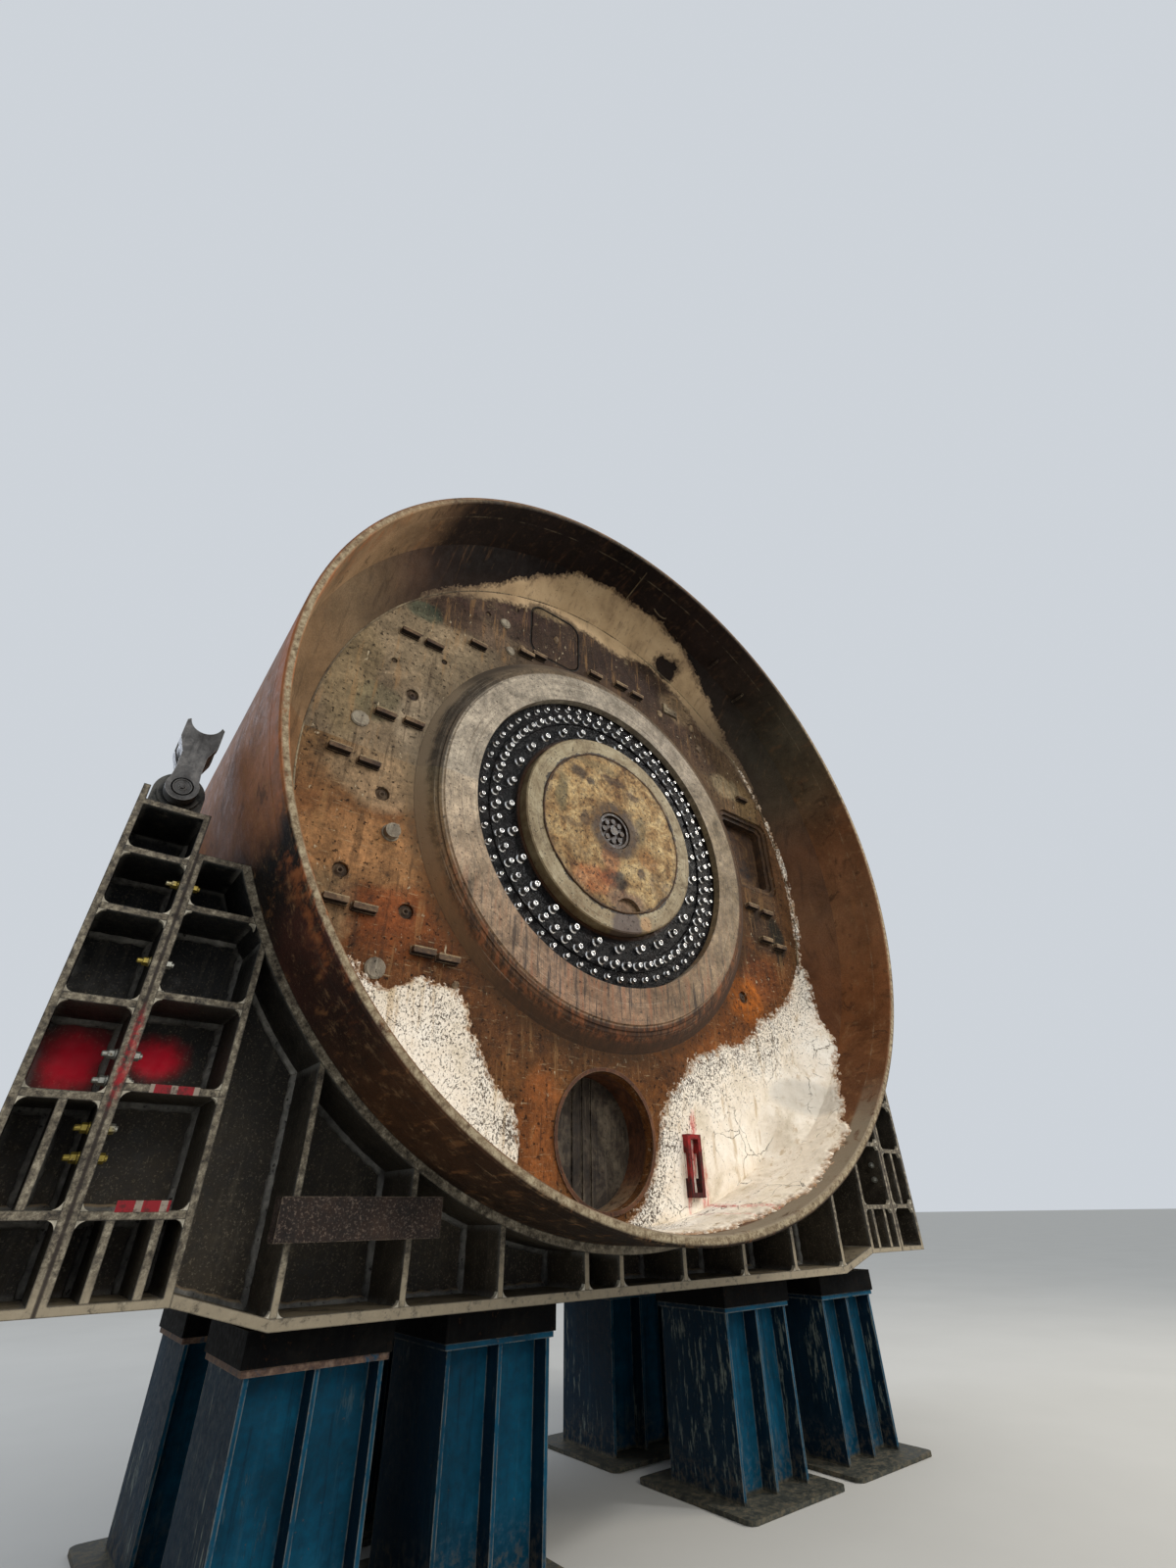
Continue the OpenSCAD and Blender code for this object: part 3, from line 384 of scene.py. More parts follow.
wallPatches = [  # x, z, half width, half height, colour, strength
    (-1.95, 1.3, 0.65, 0.5, (134, 118, 94), 0.55), (-1.82, 1.92, 0.34, 0.26, (46, 31, 26), 0.85),
    (-1.42, 1.82, 0.26, 0.16, (88, 71, 58), 0.6), (-1.15, 2.12, 0.34, 0.18, (62, 49, 42), 0.8),
    (-1.66, 2.2, 0.3, 0.16, (60, 44, 40), 0.6), (-1.05, 2.36, 0.34, 0.16, (58, 42, 38), 0.75),
    (-2.12, 1.74, 0.16, 0.1, (52, 66, 54), 0.7), (-2.6, 0.62, 0.2, 0.62, (122, 106, 78), 0.6),
    (-2.34, 0.46, 0.26, 0.18, (92, 92, 70), 0.4), (-1.95, 0.4, 0.22, 0.4, (146, 130, 108), 0.7),
    (-2.2, -0.22, 0.44, 0.26, (150, 128, 100), 0.65), (-2.25, -0.84, 0.5, 0.28, (160, 118, 78), 0.7),
    (-2.05, -1.24, 0.3, 0.16, (126, 68, 38), 0.5), (-1.8, -1.3, 0.5, 0.26, (112, 60, 30), 0.5),
    (-2.46, -1.3, 0.22, 0.26, (136, 118, 88), 0.5), (-0.62, 2.12, 0.52, 0.34, (52, 39, 33), 0.85),
    (-0.3, 2.4, 0.44, 0.24, (50, 39, 33), 0.7), (-0.8, 2.6, 0.3, 0.1, (128, 110, 84), 0.8),
    (-0.98, 2.42, 0.34, 0.12, (56, 42, 38), 0.7), (-1.36, 2.28, 0.24, 0.12, (70, 54, 46), 0.5),
    (0.4, 2.3, 0.56, 0.26, (50, 38, 34), 0.75), (1.22, 2.22, 0.26, 0.22, (124, 104, 80), 0.7),
    (2.3, 1.1, 0.2, 0.4, (120, 98, 68), 0.75), (1.62, 1.62, 0.2, 0.2, (72, 54, 42), 0.6),
    (1.96, 1.34, 0.24, 0.17, (134, 118, 92), 0.85), (2.3, -0.1, 0.24, 0.22, (80, 62, 44), 0.6),
    (2.24, -0.46, 0.28, 0.24, (46, 37, 30), 0.75), (1.85, -0.84, 0.24, 0.16, (58, 39, 27), 0.65),
    (2.44, -0.52, 0.1, 0.26, (28, 31, 26), 0.75), (2.05, -1.0, 0.32, 0.22, (112, 62, 32), 0.6),
    (1.76, -1.26, 0.26, 0.2, (146, 80, 26), 0.85), (1.0, -2.06, 0.5, 0.16, (88, 54, 30), 0.5),
    (-0.66, -2.55, 0.18, 0.42, (136, 78, 38), 0.6), (0.0, -2.02, 0.8, 0.12, (74, 50, 32), 0.5),
    (-1.05, -1.95, 0.45, 0.16, (72, 46, 28), 0.5), (0.75, 2.62, 0.16, 0.12, (40, 30, 25), 0.8),
    (-1.62, -2.02, 0.2, 0.26, (150, 132, 100), 0.35),
]


def wallFinish():
    look = Finish("bulkheadSteel", shine=0.12)
    turn, radius = look.polar(0.05, 1.6)
    base = look.byAngle(turn, [
        (-180, (112, 86, 58)), (-165, (112, 75, 46)), (-148, (106, 64, 35)), (-125, (84, 53, 30)),
        (-100, (96, 61, 32)), (-80, (100, 62, 31)), (-55, (118, 69, 33)), (-30, (102, 60, 29)), (-12, (90, 61, 37)),
        (12, (92, 64, 42)), (32, (92, 74, 54)), (55, (66, 50, 40)), (78, (66, 52, 42)), (100, (66, 52, 42)),
        (122, (88, 74, 59)), (145, (114, 98, 78)),
    ])
    warped = look.wander(0.3, 3.4, 7)
    for x, z, wide, high, colour, strength in wallPatches:
        base = look.coats(base, [(look.patch(warped, x, z, wide, high), strength, colour)])
    cloud = look.noise(3.0, 10, 0.74, twist=0.6)
    blotch = look.noise(8.0, 8, 0.72, twist=0.5)
    grain = look.noise(19.0, 10, 0.76)
    fine = look.noise(85.0, 6, 0.74)
    drips = look.streaks(17.0, 17.0, 1.4, 8, 0.7)
    scrape = look.streaks(7.0, 7.0, 60.0, 6, 0.7)
    base = look.tone(base, cloud, 0.55)
    base = look.tone(base, grain, 0.6)
    pits = look.spots(30.0, 4, 0.62, 0.6, 0.66)
    chips = look.mask(look.noise(24.0, 5, 0.6, place=look.stretch(1.0, 1.0, 0.55)), 0.655, 0.7)
    # darker along edges and inner corners, broken by a noise
    darkMarks = look.wornEdges((0.05, 0.03, 0.35), (blotch, 0.36, 0.52))
    foot = look.mask(look.apart(radius, 1.985), 0.13, 0.0)
    footTone = look.byAngle(turn, [
        (-180, (104, 90, 70)), (-150, (84, 62, 40)), (-130, (58, 42, 28)), (-90, (44, 33, 22)), (-20, (56, 40, 26)),
        (60, (84, 64, 48)), (110, (66, 52, 41)), (150, (96, 84, 68)),
    ])
    base = look.coats(base, [
        ((drips, 0.55, 0.66), 0.42, (150, 114, 74)),
        ((drips, 0.46, 0.35), 0.5, (46, 33, 25)),
        ((blotch, 0.4, 0.32), 0.7, (42, 32, 26)),
        ((blotch, 0.6, 0.7), 0.45, (160, 140, 108)),
        ((fine, 0.58, 0.7), 0.75, (30, 22, 18)),
        ((fine, 0.41, 0.31), 0.55, (186, 164, 128)),
        (pits, 0.85, (24, 18, 15)),
        (chips, 0.75, (192, 176, 146)),
        ((scrape, 0.6, 0.68), 0.45, (184, 164, 128), look.mask(look.z, 0.5, -0.8)),
        (darkMarks, 0.85, (36, 27, 22)),
        ((cloud, 0.34, 0.56), 0.7, footTone, foot),
    ])
    look.relief(
        (cloud, 0.01, 0.7), (blotch, 0.006, 0.8), (grain, 0.006, 0.9), (fine, 0.002, 0.9),
        (look.calc("SUBTRACT", chips, pits), 0.003),
    )
    return look.done(base, (grain, 0.6, 0.92))


def concentric(look, radius, turn, lines):
    across = look.add("ShaderNodeCombineXYZ", look.times(radius, lines), look.times(turn, 8.0), 0.0)
    return look.noise(1.0, 5, 0.75, place=across.outputs[0])


def ringFinish():  # the fixed ring of bare pale steel and the smooth slope round it
    look = Finish("sealRingSteel", shine=0.4)
    turn, radius = look.polar(0.02, 2.5)
    pale = look.byAngle(turn, [
        (-180, (154, 138, 116)), (-150, (142, 120, 94)), (-115, (132, 102, 76)), (-90, (128, 98, 72)),
        (-60, (120, 97, 70)), (-20, (118, 99, 72)), (20, (118, 101, 74)), (60, (126, 114, 97)),
        (100, (132, 122, 106)), (140, (150, 138, 120)),
    ])
    slope = look.byAngle(turn, [
        (-180, (84, 74, 56)), (-165, (92, 72, 48)), (-140, (80, 52, 30)), (-90, (70, 43, 25)), (-40, (82, 54, 34)),
        (0, (70, 52, 38)), (45, (88, 72, 54)), (90, (98, 84, 68)), (120, (96, 82, 64)), (150, (62, 54, 44)),
    ])
    offFace = look.mask(radius, 1.762, 1.78)
    base = look.blend(offFace, pale, slope)
    circles = concentric(look, radius, turn, 62.0)
    cloud = look.noise(3.2, 9, 0.7, twist=0.5)
    grain = look.noise(26.0, 9, 0.74)
    drips = look.streaks(22.0, 22.0, 1.7, 7, 0.68)
    low = look.mask(look.z, -0.2, -1.5)
    base = look.tone(base, cloud, 0.55)
    base = look.tone(base, grain, 0.62)
    pits = look.spots(36.0, 3, 0.6, 0.62, 0.68)
    wallLike = look.byAngle(turn, [
        (-180, (126, 110, 88)), (-150, (114, 84, 56)), (-120, (62, 44, 29)), (-60, (58, 40, 26)), (0, (66, 47, 32)),
        (60, (86, 67, 51)), (110, (80, 66, 52)), (150, (120, 105, 85)),
    ])
    shade = look.times(
        look.patch(look.wander(0.2, 4.0, 5), -1.32, 1.32, 0.42, 0.42, 0.8), look.mask(radius, 1.84, 1.92),
    )
    base = look.coats(base, [
        (look.spots(60.0, 5, 0.74, 0.54, 0.66), 0.7, (70, 54, 40)),
        ((circles, 0.47, 0.37), 0.6, (92, 76, 58)),
        ((circles, 0.56, 0.68), 0.4, (196, 184, 162)),
        ((drips, 0.5, 0.62), 0.6, (134, 80, 48), low),
        ((drips, 0.48, 0.39), 0.85, (46, 32, 24), low),
        (pits, 0.85, (50, 38, 28)),
        ((look.calc("MULTIPLY_ADD", cloud, 0.16, radius), 1.935, 1.985), 0.85, wallLike),
        (shade, 0.75, (40, 32, 25)),
        (look.wornEdges((0.012, 0.03, 0.3), (grain, 0.35, 0.6)), 0.8, (58, 46, 36)),
    ])
    look.relief((circles, 0.0012, 0.8), (cloud, 0.006, 0.6), (look.calc("SUBTRACT", grain, pits), 0.003, 0.8))
    return look.done(
        base, look.calc("MAXIMUM", look.span(cloud, 0.35, 0.65, 0.74, 0.48), look.times(offFace, 0.95)),
    )


def greaseFinish():  # black grease over dark steel, thick in places
    look = Finish("blackGrease", shine=0.07)
    radius = look.polar()[1]
    cloud = look.noise(5.0, 7, 0.66, twist=0.8)
    lumps = look.noise(20.0, 6, 0.66, twist=0.5)
    base = look.ramp(cloud, [
        (0.34, (1, 1, 2)), (0.54, (4, 3, 4)), (0.62, (18, 12, 11)), (0.67, (4, 3, 4)), (0.8, (26, 24, 23)),
    ])
    base = look.coats(base, [
        ((lumps, 0.66, 0.74), 0.6, (40, 34, 31)),
        ((radius, 1.045, 1.005), 0.8, (66, 44, 30)),
    ])
    look.relief((cloud, 0.014, 1.0), (lumps, 0.009, 1.0))
    return look.done(base, look.span(lumps, 0.38, 0.62, 0.08, 0.34))


def hubRingFinish():
    look = Finish("hubRingSteel", shine=0.4)
    turn, radius = look.polar(0.02, 3.0)
    cloud = look.noise(5.0, 9, 0.72, twist=0.6)
    grain = look.noise(34.0, 9, 0.76)
    warped = look.wander(0.1, 11.0, 6)
    base = look.ramp(cloud, [
        (0.34, (92, 76, 52)), (0.46, (126, 110, 80)), (0.56, (142, 128, 96)), (0.7, (162, 150, 118)),
    ])
    pits = look.spots(42.0, 3, 0.6, 0.62, 0.68)
    joint = look.mask(look.calc("MULTIPLY_ADD", look.noise(6.0, 6, 0.7), 0.16, radius), 0.916, 0.904)
    base = look.coats(base, [
        ((grain, 0.42, 0.6), 0.6, (118, 90, 54), look.mask(look.z, -0.35, -0.95)),
        ((concentric(look, radius, turn, 62.0), 0.47, 0.36), 0.7, (86, 70, 48)),
        (look.patch(warped, 0.1, -0.92, 0.17, 0.16, 0.25), 0.9, (82, 68, 62)),
        (look.patch(warped, 0.34, -0.86, 0.07, 0.07, 0.3), 0.7, (168, 130, 88)),
        (pits, 0.85, (40, 32, 24)),
        (joint, 0.9, (30, 21, 15)),
        ((radius, 0.975, 0.99), 0.35, (84, 66, 46)),
        (look.wornEdges((0.014, 0.03, 0.3), (grain, 0.38, 0.56)), 0.9, (50, 38, 28)),
    ])
    look.relief((cloud, 0.005, 0.7), (look.calc("SUBTRACT", grain, pits), 0.003, 0.9))
    return look.done(base, (cloud, 0.72, 0.48))


hubPatches = [  # x, z, half width, half height, colour, strength
    (-0.42, 0.5, 0.1, 0.07, (52, 38, 24), 0.85), (0.02, 0.55, 0.15, 0.05, (60, 40, 24), 0.8),
    (0.24, 0.46, 0.09, 0.05, (66, 44, 26), 0.75), (-0.28, 0.44, 0.05, 0.04, (48, 34, 22), 0.8),
    (0.34, 0.1, 0.07, 0.16, (80, 66, 38), 0.7), (0.42, -0.22, 0.12, 0.09, (120, 78, 32), 0.7),
    (-0.62, 0.2, 0.07, 0.2, (84, 76, 48), 0.7), (-0.36, 0.02, 0.05, 0.08, (66, 46, 30), 0.7),
    (-0.03, -0.52, 0.17, 0.09, (34, 24, 15), 0.9), (-0.26, -0.58, 0.22, 0.13, (150, 84, 44), 0.6),
    (0.1, -0.7, 0.22, 0.11, (100, 74, 58), 0.8), (-0.06, -0.32, 0.1, 0.16, (128, 72, 38), 0.65),
    (0.52, -0.44, 0.12, 0.14, (104, 78, 44), 0.6), (-0.44, -0.32, 0.14, 0.12, (118, 90, 52), 0.6),
    (-0.52, -0.08, 0.12, 0.03, (74, 54, 34), 0.6), (0.16, 0.26, 0.1, 0.05, (104, 82, 48), 0.6),
    (0.3, -0.36, 0.05, 0.05, (60, 40, 26), 0.8), (-0.2, 0.66, 0.3, 0.06, (112, 96, 64), 0.6),
]


def hubDiscFinish():
    look = Finish("ochreHubPlate", shine=0.35)
    turn, radius = look.polar(0.05, 3.0)
    warped = look.wander(0.14, 7.0, 6)
    cloud = look.noise(4.0, 10, 0.76, twist=0.7)
    grain = look.noise(26.0, 10, 0.76)
    base = look.ramp(cloud, [
        (0.34, (72, 46, 26)), (0.43, (122, 92, 54)), (0.52, (148, 120, 76)), (0.6, (168, 144, 98)),
        (0.7, (120, 78, 42)),
    ])
    for x, z, wide, high, colour, strength in hubPatches:
        base = look.coats(base, [(look.patch(warped, x, z, wide, high, 0.6), strength, colour)])
    base = look.tone(base, grain, 0.85)
    joint = look.mask(look.calc("MULTIPLY_ADD", look.noise(6.0, 6, 0.7), -0.12, radius), 0.737, 0.749)
    pits = look.spots(36.0, 3, 0.6, 0.6, 0.67)
    base = look.coats(base, [
        ((cloud, 0.32, 0.52), 0.9, (50, 32, 21), look.mask(radius, 0.34, 0.25)),
        ((radius, 0.74, 0.81), 0.45, (92, 72, 46)),
        (joint, 0.9, (34, 24, 16)),
        (pits, 0.85, (42, 30, 20)),
        (look.wornEdges((0.012, 0.03, 0.3), (grain, 0.3, 0.5)), 0.9, (36, 26, 18)),
    ])
    look.relief((cloud, 0.006, 0.8), (look.calc("SUBTRACT", grain, pits), 0.004, 0.9))
    return look.done(base, (cloud, 0.85, 0.55))


def barFinish():  # pale upper edges, partly dust and partly painted highlight; black undersides, painted shade
    look = Finish("wearBarSteel")
    cloud = look.noise(6.0, 8, 0.72, twist=0.4)
    grain = look.noise(26.0, 9, 0.78)
    base = look.ramp(cloud, [(0.36, (52, 38, 30)), (0.5, (88, 68, 50)), (0.64, (126, 104, 78))])
    base = look.tone(base, grain, 0.6)
    base = look.coats(base, [
        # pale along the edges that lean up: partly dust, partly painted highlight
        ((grain, 0.34, 0.48), 0.9, (176, 156, 120), look.worn(0.024, 0.02, 0.2, leaning=1.0)),
        # painted shade: black along the edges that lean down and on the faces that point down
        (look.worn(0.009, 0.02, 0.2, leaning=-1.0), 0.9, (16, 12, 10)),
        ((look.split(look.normal)[2], -0.4, -0.8), 0.92, (14, 10, 9)),
    ])
    look.bump(grain, 0.004, 0.9)
    return look.done(base, (grain, 0.65, 0.9))


def brownSteelFinish(name, dark, middle, light, streak=0.5, edge=(140, 122, 96), dust=0.5):
    look = Finish(name)
    cloud = look.noise(3.6, 9, 0.72, twist=0.5)
    grain = look.noise(20.0, 9, 0.76)
    drips = look.streaks(22.0, 22.0, 1.3, 7, 0.68)
    base = look.ramp(cloud, [(0.36, dark), (0.5, middle), (0.64, light)])
    base = look.coats(base, [
        ((drips, 0.54, 0.66), streak, light),
        ((drips, 0.45, 0.34), streak, dark),
    ])
    base = look.tone(base, grain, 0.45)
    pits = look.spots(38.0, 4, 0.62, 0.61, 0.68)
    base = look.coats(base, [
        (pits, 0.8, (22, 17, 14)),
        ((grain, 0.36, 0.52), dust, (150, 128, 98), look.upward()),
        (look.wornEdges((0.01, 0.04, 0.3), (grain, 0.42, 0.58)), 0.8, edge),
    ])
    look.relief((cloud, 0.006, 0.7), (look.calc("SUBTRACT", grain, pits), 0.004, 0.9))
    return look.done(base, (grain, 0.6, 0.9))


def studFinish():  # bare steel tips over greasy shanks
    look = Finish("greasyStudSteel", shine=0.4)
    cloud = look.noise(14.0, 5, 0.66)
    forward = look.mask(look.times(look.split(look.normal)[1], -1.0), 0.3, 0.75)
    bare = look.times(look.mask(cloud, 0.36, 0.44), look.calc("MULTIPLY_ADD", forward, 0.93, 0.07))
    look.bump(look.noise(70.0, 5, 0.6), 0.001, 0.5)
    return look.done(look.blend(bare, (6, 5, 6), (232, 230, 228)), look.span(cloud, 0.35, 0.65, 0.08, 0.22), bare)


def nozzleFinish():
    look = Finish("nozzleSteel", shine=0.4)
    radius = look.polar()[1]
    front = depthsOf("hub_nozzles")[0]
    cloud = look.noise(22.0, 6, 0.7)
    forward = look.mask(look.times(look.split(look.normal)[1], -1.0), 0.2, 0.9)
    face = look.mask(look.depth, front + 0.012, front + 0.004)
    tip = look.times(look.times(face, forward), look.mask(radius, 0.15, 0.145))
    base = look.ramp(cloud, [(0.36, (24, 16, 12)), (0.52, (46, 33, 25)), (0.66, (80, 62, 48))])
    base = look.coats(base, [
        (look.worn(0.006, 0.03, 0.25), 0.7, (126, 108, 86), look.mask(radius, 0.145, 0.152)),
        ((cloud, 0.46, 0.56), 0.7, (150, 138, 122), tip),
    ])
    look.bump(cloud, 0.003, 0.8)
    return look.done(base, (cloud, 0.35, 0.7))


sprayedBays = [  # x, z, half width, half height, strength
    (-3.41, -2.33, 0.16, 0.14, 0.4), (-3.415, -2.34, 0.105, 0.1, 1.0),
    (-3.05, -2.29, 0.13, 0.1, 0.4), (-3.06, -2.29, 0.1, 0.07, 1.0),
]


def cradleFinish(fronts):  # black paint; bare dusty front edges, pale weld lines, dust low down
    look = Finish("blackCradlePaint", shine=0.3)
    cloud = look.noise(1.6, 7, 0.64, twist=0.3)
    grain = look.noise(17.0, 9, 0.76)
    fine = look.noise(90.0, 5, 0.72)
    streaks = look.streaks(20.0, 20.0, 1.6, 7, 0.7)
    base = look.ramp(cloud, [(0.34, (8, 11, 14)), (0.5, (15, 18, 21)), (0.64, (26, 27, 28)), (0.76, (38, 36, 33))])
    low = look.mask(look.height, 3.2, 1.35)
    base = look.coats(base, [
        (look.span(cloud, 0.35, 0.6, 0.45, 1.0), 0.5, (88, 77, 61), low),
        ((streaks, 0.54, 0.68), 0.22, (110, 102, 88)),
        ((fine, 0.55, 0.66), 0.6, (150, 138, 116), look.span(look.height, 1.2, 4.0, 1.0, 0.25)),
    ])
    base = look.tone(base, grain, 0.5)
    onWeb = look.times(look.mask(look.depth, 1.0, 1.1), look.mask(look.depth, 1.155, 1.145))
    for x, z, wide, high, strength in sprayedBays:
        spray = look.patch(look.wander(0.11, 8.0, 4), x, z, wide, high, 1.0)
        base = look.coats(base, [(spray, strength, (255, 10, 52), onWeb)])
    seams = look.times(look.worn(0.06, 0.025, 0.14), look.spots(7.0, 6, 0.7, 0.38, 0.52))
    first, last = [look.mask(look.apart(look.depth, depth), 0.006, 0.003) for depth in fronts]
    facing = look.mask(look.calc("ABSOLUTE", look.split(look.normal)[1]), 0.6, 0.9)
    bare = look.times(look.calc("MAXIMUM", first, last), facing)
    rub = look.ramp(look.noise(26.0, 9, 0.8), [
        (0.38, (40, 35, 29)), (0.47, (92, 83, 69)), (0.56, (134, 124, 105)), (0.66, (182, 172, 150)),
    ])
    border = look.times(bare, look.worn(0.011, 0.02, 0.16))
    middle = look.mask(look.apart(look.calc("ABSOLUTE", look.x), 3.226), 0.012, 0.005)
    redLine = look.times(
        look.patch(look.wander(0.05, 9.0, 4), -3.222, -2.36, 0.022, 0.2, 0.8), look.mask(look.depth, 0.75, 0.72),
    )
    base = look.coats(base, [
        (look.spots(6.0, 7, 0.72, 0.36, 0.52), 0.8, (128, 116, 94), look.upward()),
        (seams, 0.62, (120, 118, 112)),
        (look.spots(14.0, 8, 0.78, 0.3, 0.44), 0.9, rub, bare),
        ((grain, 0.34, 0.5), 0.85, (156, 143, 120), look.times(bare, look.mask(look.height, 1.45, 1.3))),
        (border, 0.85, (26, 23, 20)),
        (middle, 0.85, (38, 28, 22), bare),
        ((grain, 0.4, 0.58), 0.7, (176, 22, 38), redLine),
    ])
    look.relief((cloud, 0.003, 0.5), (grain, 0.0025, 0.7), (fine, 0.0008, 0.6))
    return look.done(base, (grain, 0.42, 0.75))


def standFinish():
    look = Finish("blueStandPaint", shine=0.14)
    cloud = look.noise(2.2, 7, 0.66, twist=0.3)
    grain = look.noise(22.0, 9, 0.76)
    drips = look.streaks(30.0, 30.0, 1.1, 7, 0.7)
    base = look.ramp(cloud, [(0.34, (1, 48, 66)), (0.52, (3, 64, 88)), (0.7, (8, 80, 106))])
    # faces that point along x; the dark navy coat laid on them is painted shade, and the flaking below also favours
    # them
    sides = look.mask(look.calc("ABSOLUTE", look.split(look.normal)[0]), 0.6, 0.9)
    base = look.coats(base, [
        (sides, 0.85, (4, 22, 36)),
        ((drips, 0.57, 0.7), 0.14, (70, 104, 116)),
        ((drips, 0.45, 0.33), 0.45, (6, 16, 26)),
    ])
    base = look.tone(base, grain, 0.3)
    edge = look.times(look.worn(0.016, 0.04, 0.3), look.spots(9.0, 7, 0.76, 0.38, 0.54))
    flaked = look.times(
        look.mask(look.streaks(22.0, 22.0, 4.0, 8, 0.76), 0.54, 0.6), look.spots(0.9, 3, 0.5, 0.5, 0.58),
    )
    rustyCap = look.times(look.mask(look.height, 0.985, 0.992), look.mask(look.x, -1.45, -1.6))
    capTone = look.ramp(grain, [(0.36, (58, 42, 33)), (0.5, (96, 72, 56)), (0.64, (128, 104, 84))])
    foot = look.mask(look.calc("MULTIPLY_ADD", grain, 0.02, look.height), 0.06, 0.04)
    footTone = look.ramp(grain, [(0.36, (44, 43, 38)), (0.5, (68, 68, 60)), (0.64, (96, 92, 80))])
    splash = look.times(look.mask(look.height, 0.34, 0.02), look.mask(grain, 0.46, 0.62))
    base = look.coats(base, [
        (look.spots(40.0, 6, 0.7, 0.63, 0.69), 0.7, (96, 78, 60)),
        (edge, 0.85, (134, 130, 118)),
        (flaked, 0.85, (112, 120, 112), look.calc("MULTIPLY_ADD", sides, 0.75, 0.25)),
        (look.spots(12.0, 8, 0.76, 0.34, 0.48), 0.9, capTone, rustyCap),
        (foot, 0.95, footTone),
        (splash, 0.55, (104, 92, 72)),
    ])
    look.relief((cloud, 0.003, 0.5), (grain, 0.0015, 0.6), (flaked, -0.001))
    return look.done(base, (grain, 0.5, 0.8))


def greyFinish(name, dark, middle, light, metal=0.0, rough=(0.45, 0.75), edge=(150, 146, 138), rust=0.6, shine=0.3):
    look = Finish(name, metal=metal, shine=shine)
    cloud = look.noise(5.0, 8, 0.7, twist=0.4)
    grain = look.noise(32.0, 8, 0.76)
    drips = look.streaks(26.0, 26.0, 2.0, 7, 0.68)
    base = look.ramp(cloud, [(0.36, dark), (0.5, middle), (0.66, light)])
    base = look.coats(base, [
        ((drips, 0.55, 0.68), 0.35, light),
        ((drips, 0.44, 0.34), 0.4, dark),
        ((grain, 0.58, 0.68), rust, (92, 64, 44)),
        ((grain, 0.36, 0.52), 0.5, (120, 108, 88), look.upward()),
        (look.wornEdges((0.01, 0.04, 0.3), (grain, 0.36, 0.56)), 0.85, edge),
    ])
    look.relief((cloud, 0.003, 0.6), (grain, 0.0015, 0.7))
    return look.done(base, (grain, *rough))


def stripFinish():  # red strips with a white middle
    look = Finish("stripedStrip", 0.55)
    wave = look.calc("SINE", look.calc("MULTIPLY_ADD", look.x, 62.0, 4.1))
    base = look.blend(look.mask(wave, 0.55, 0.65), (140, 18, 30), (152, 138, 124))
    darkMarks = look.noise(30.0, 7, 0.76)
    base = look.coats(base, [((darkMarks, 0.5, 0.62), 0.7, (60, 26, 22))])
    look.bump(darkMarks, 0.0006, 0.6)
    return look.done(base)


def crossBoxFinish():
    look = Finish("crossBoxSteel")
    cloud = look.noise(4.0, 8, 0.72)
    grain = look.noise(24.0, 8, 0.78)
    base = look.ramp(cloud, [(0.36, (26, 18, 15)), (0.52, (44, 32, 26)), (0.68, (66, 50, 40))])
    base = look.coats(base, [
        (look.spots(85.0, 5, 0.74, 0.53, 0.62), 0.65, (118, 102, 90)),
        (look.spots(40.0, 4, 0.66, 0.68, 0.72), 0.9, (206, 200, 188)),
    ])
    base = look.tone(base, grain, 0.6)
    base = look.coats(base, [(look.wornEdges((0.01, 0.04, 0.3), (grain, 0.4, 0.56)), 0.8, (124, 110, 92))])
    look.relief((cloud, 0.004, 0.8), (grain, 0.003, 0.9))
    return look.done(base, (grain, 0.55, 0.85))


skinSteel = skinFinish()
bandSteel = bandFinish()
wallSteel = wallFinish()
ringSteel = ringFinish()
grease = greaseFinish()
hubRingSteel = hubRingFinish()
hubPlate = hubDiscFinish()
studSteel = studFinish()
nozzleSteel = nozzleFinish()
darkBrown = brownSteelFinish("darkBrownSteel", (32, 23, 16), (64, 43, 26), (98, 73, 47))
redBrown = brownSteelFinish("redBrownSteel", (44, 26, 18), (82, 50, 32), (112, 72, 44))
gateBrown = brownSteelFinish("gateSteel", (30, 24, 20), (52, 43, 34), (92, 82, 68), 0.6, (168, 158, 138))
plugBrown = brownSteelFinish("portPlugSteel", (44, 33, 26), (78, 61, 45), (112, 93, 70), 0.4, (150, 132, 100))
coverGrey = brownSteelFinish("coverSteel", (92, 82, 70), (128, 118, 102), (156, 148, 130))
barBrown = barFinish()
# the dark edge colour paints shade along the bracket's edges and into its inner corners
bracketRed = brownSteelFinish("redBracketPaint", (26, 14, 12), (66, 21, 19), (150, 32, 32), 0.6, (40, 20, 17))
weldLook = brownSteelFinish("weldSteel", (58, 46, 34), (94, 80, 61), (140, 126, 100), 0.4)
cradleBlack = cradleFinish((depthsOf("front_base")[0], depthsOf("rear_base")[1]))
standBlue = standFinish()
shackleGrey = greyFinish(
    "shackleSteel", (48, 47, 48), (88, 88, 89), (140, 138, 136), 0.0, (0.34, 0.6), (176, 173, 168), 0.25,
)
driveGrey = greyFinish("driveHousingPaint", (88, 90, 88), (124, 126, 122), (148, 148, 142))
motorBlack = greyFinish("motorPaint", (22, 24, 26), (36, 38, 40), (56, 56, 54))
packingBlack = greyFinish(
    "packingSteel", (6, 6, 7), (10, 10, 10), (22, 20, 17), 0.0, (0.6, 0.85), (48, 43, 36), 0.25, 0.06,
)
chamberGrey = greyFinish("lockChamberPaint", (120, 116, 104), (152, 146, 130), (176, 170, 152))
crossBoxBrown = crossBoxFinish()
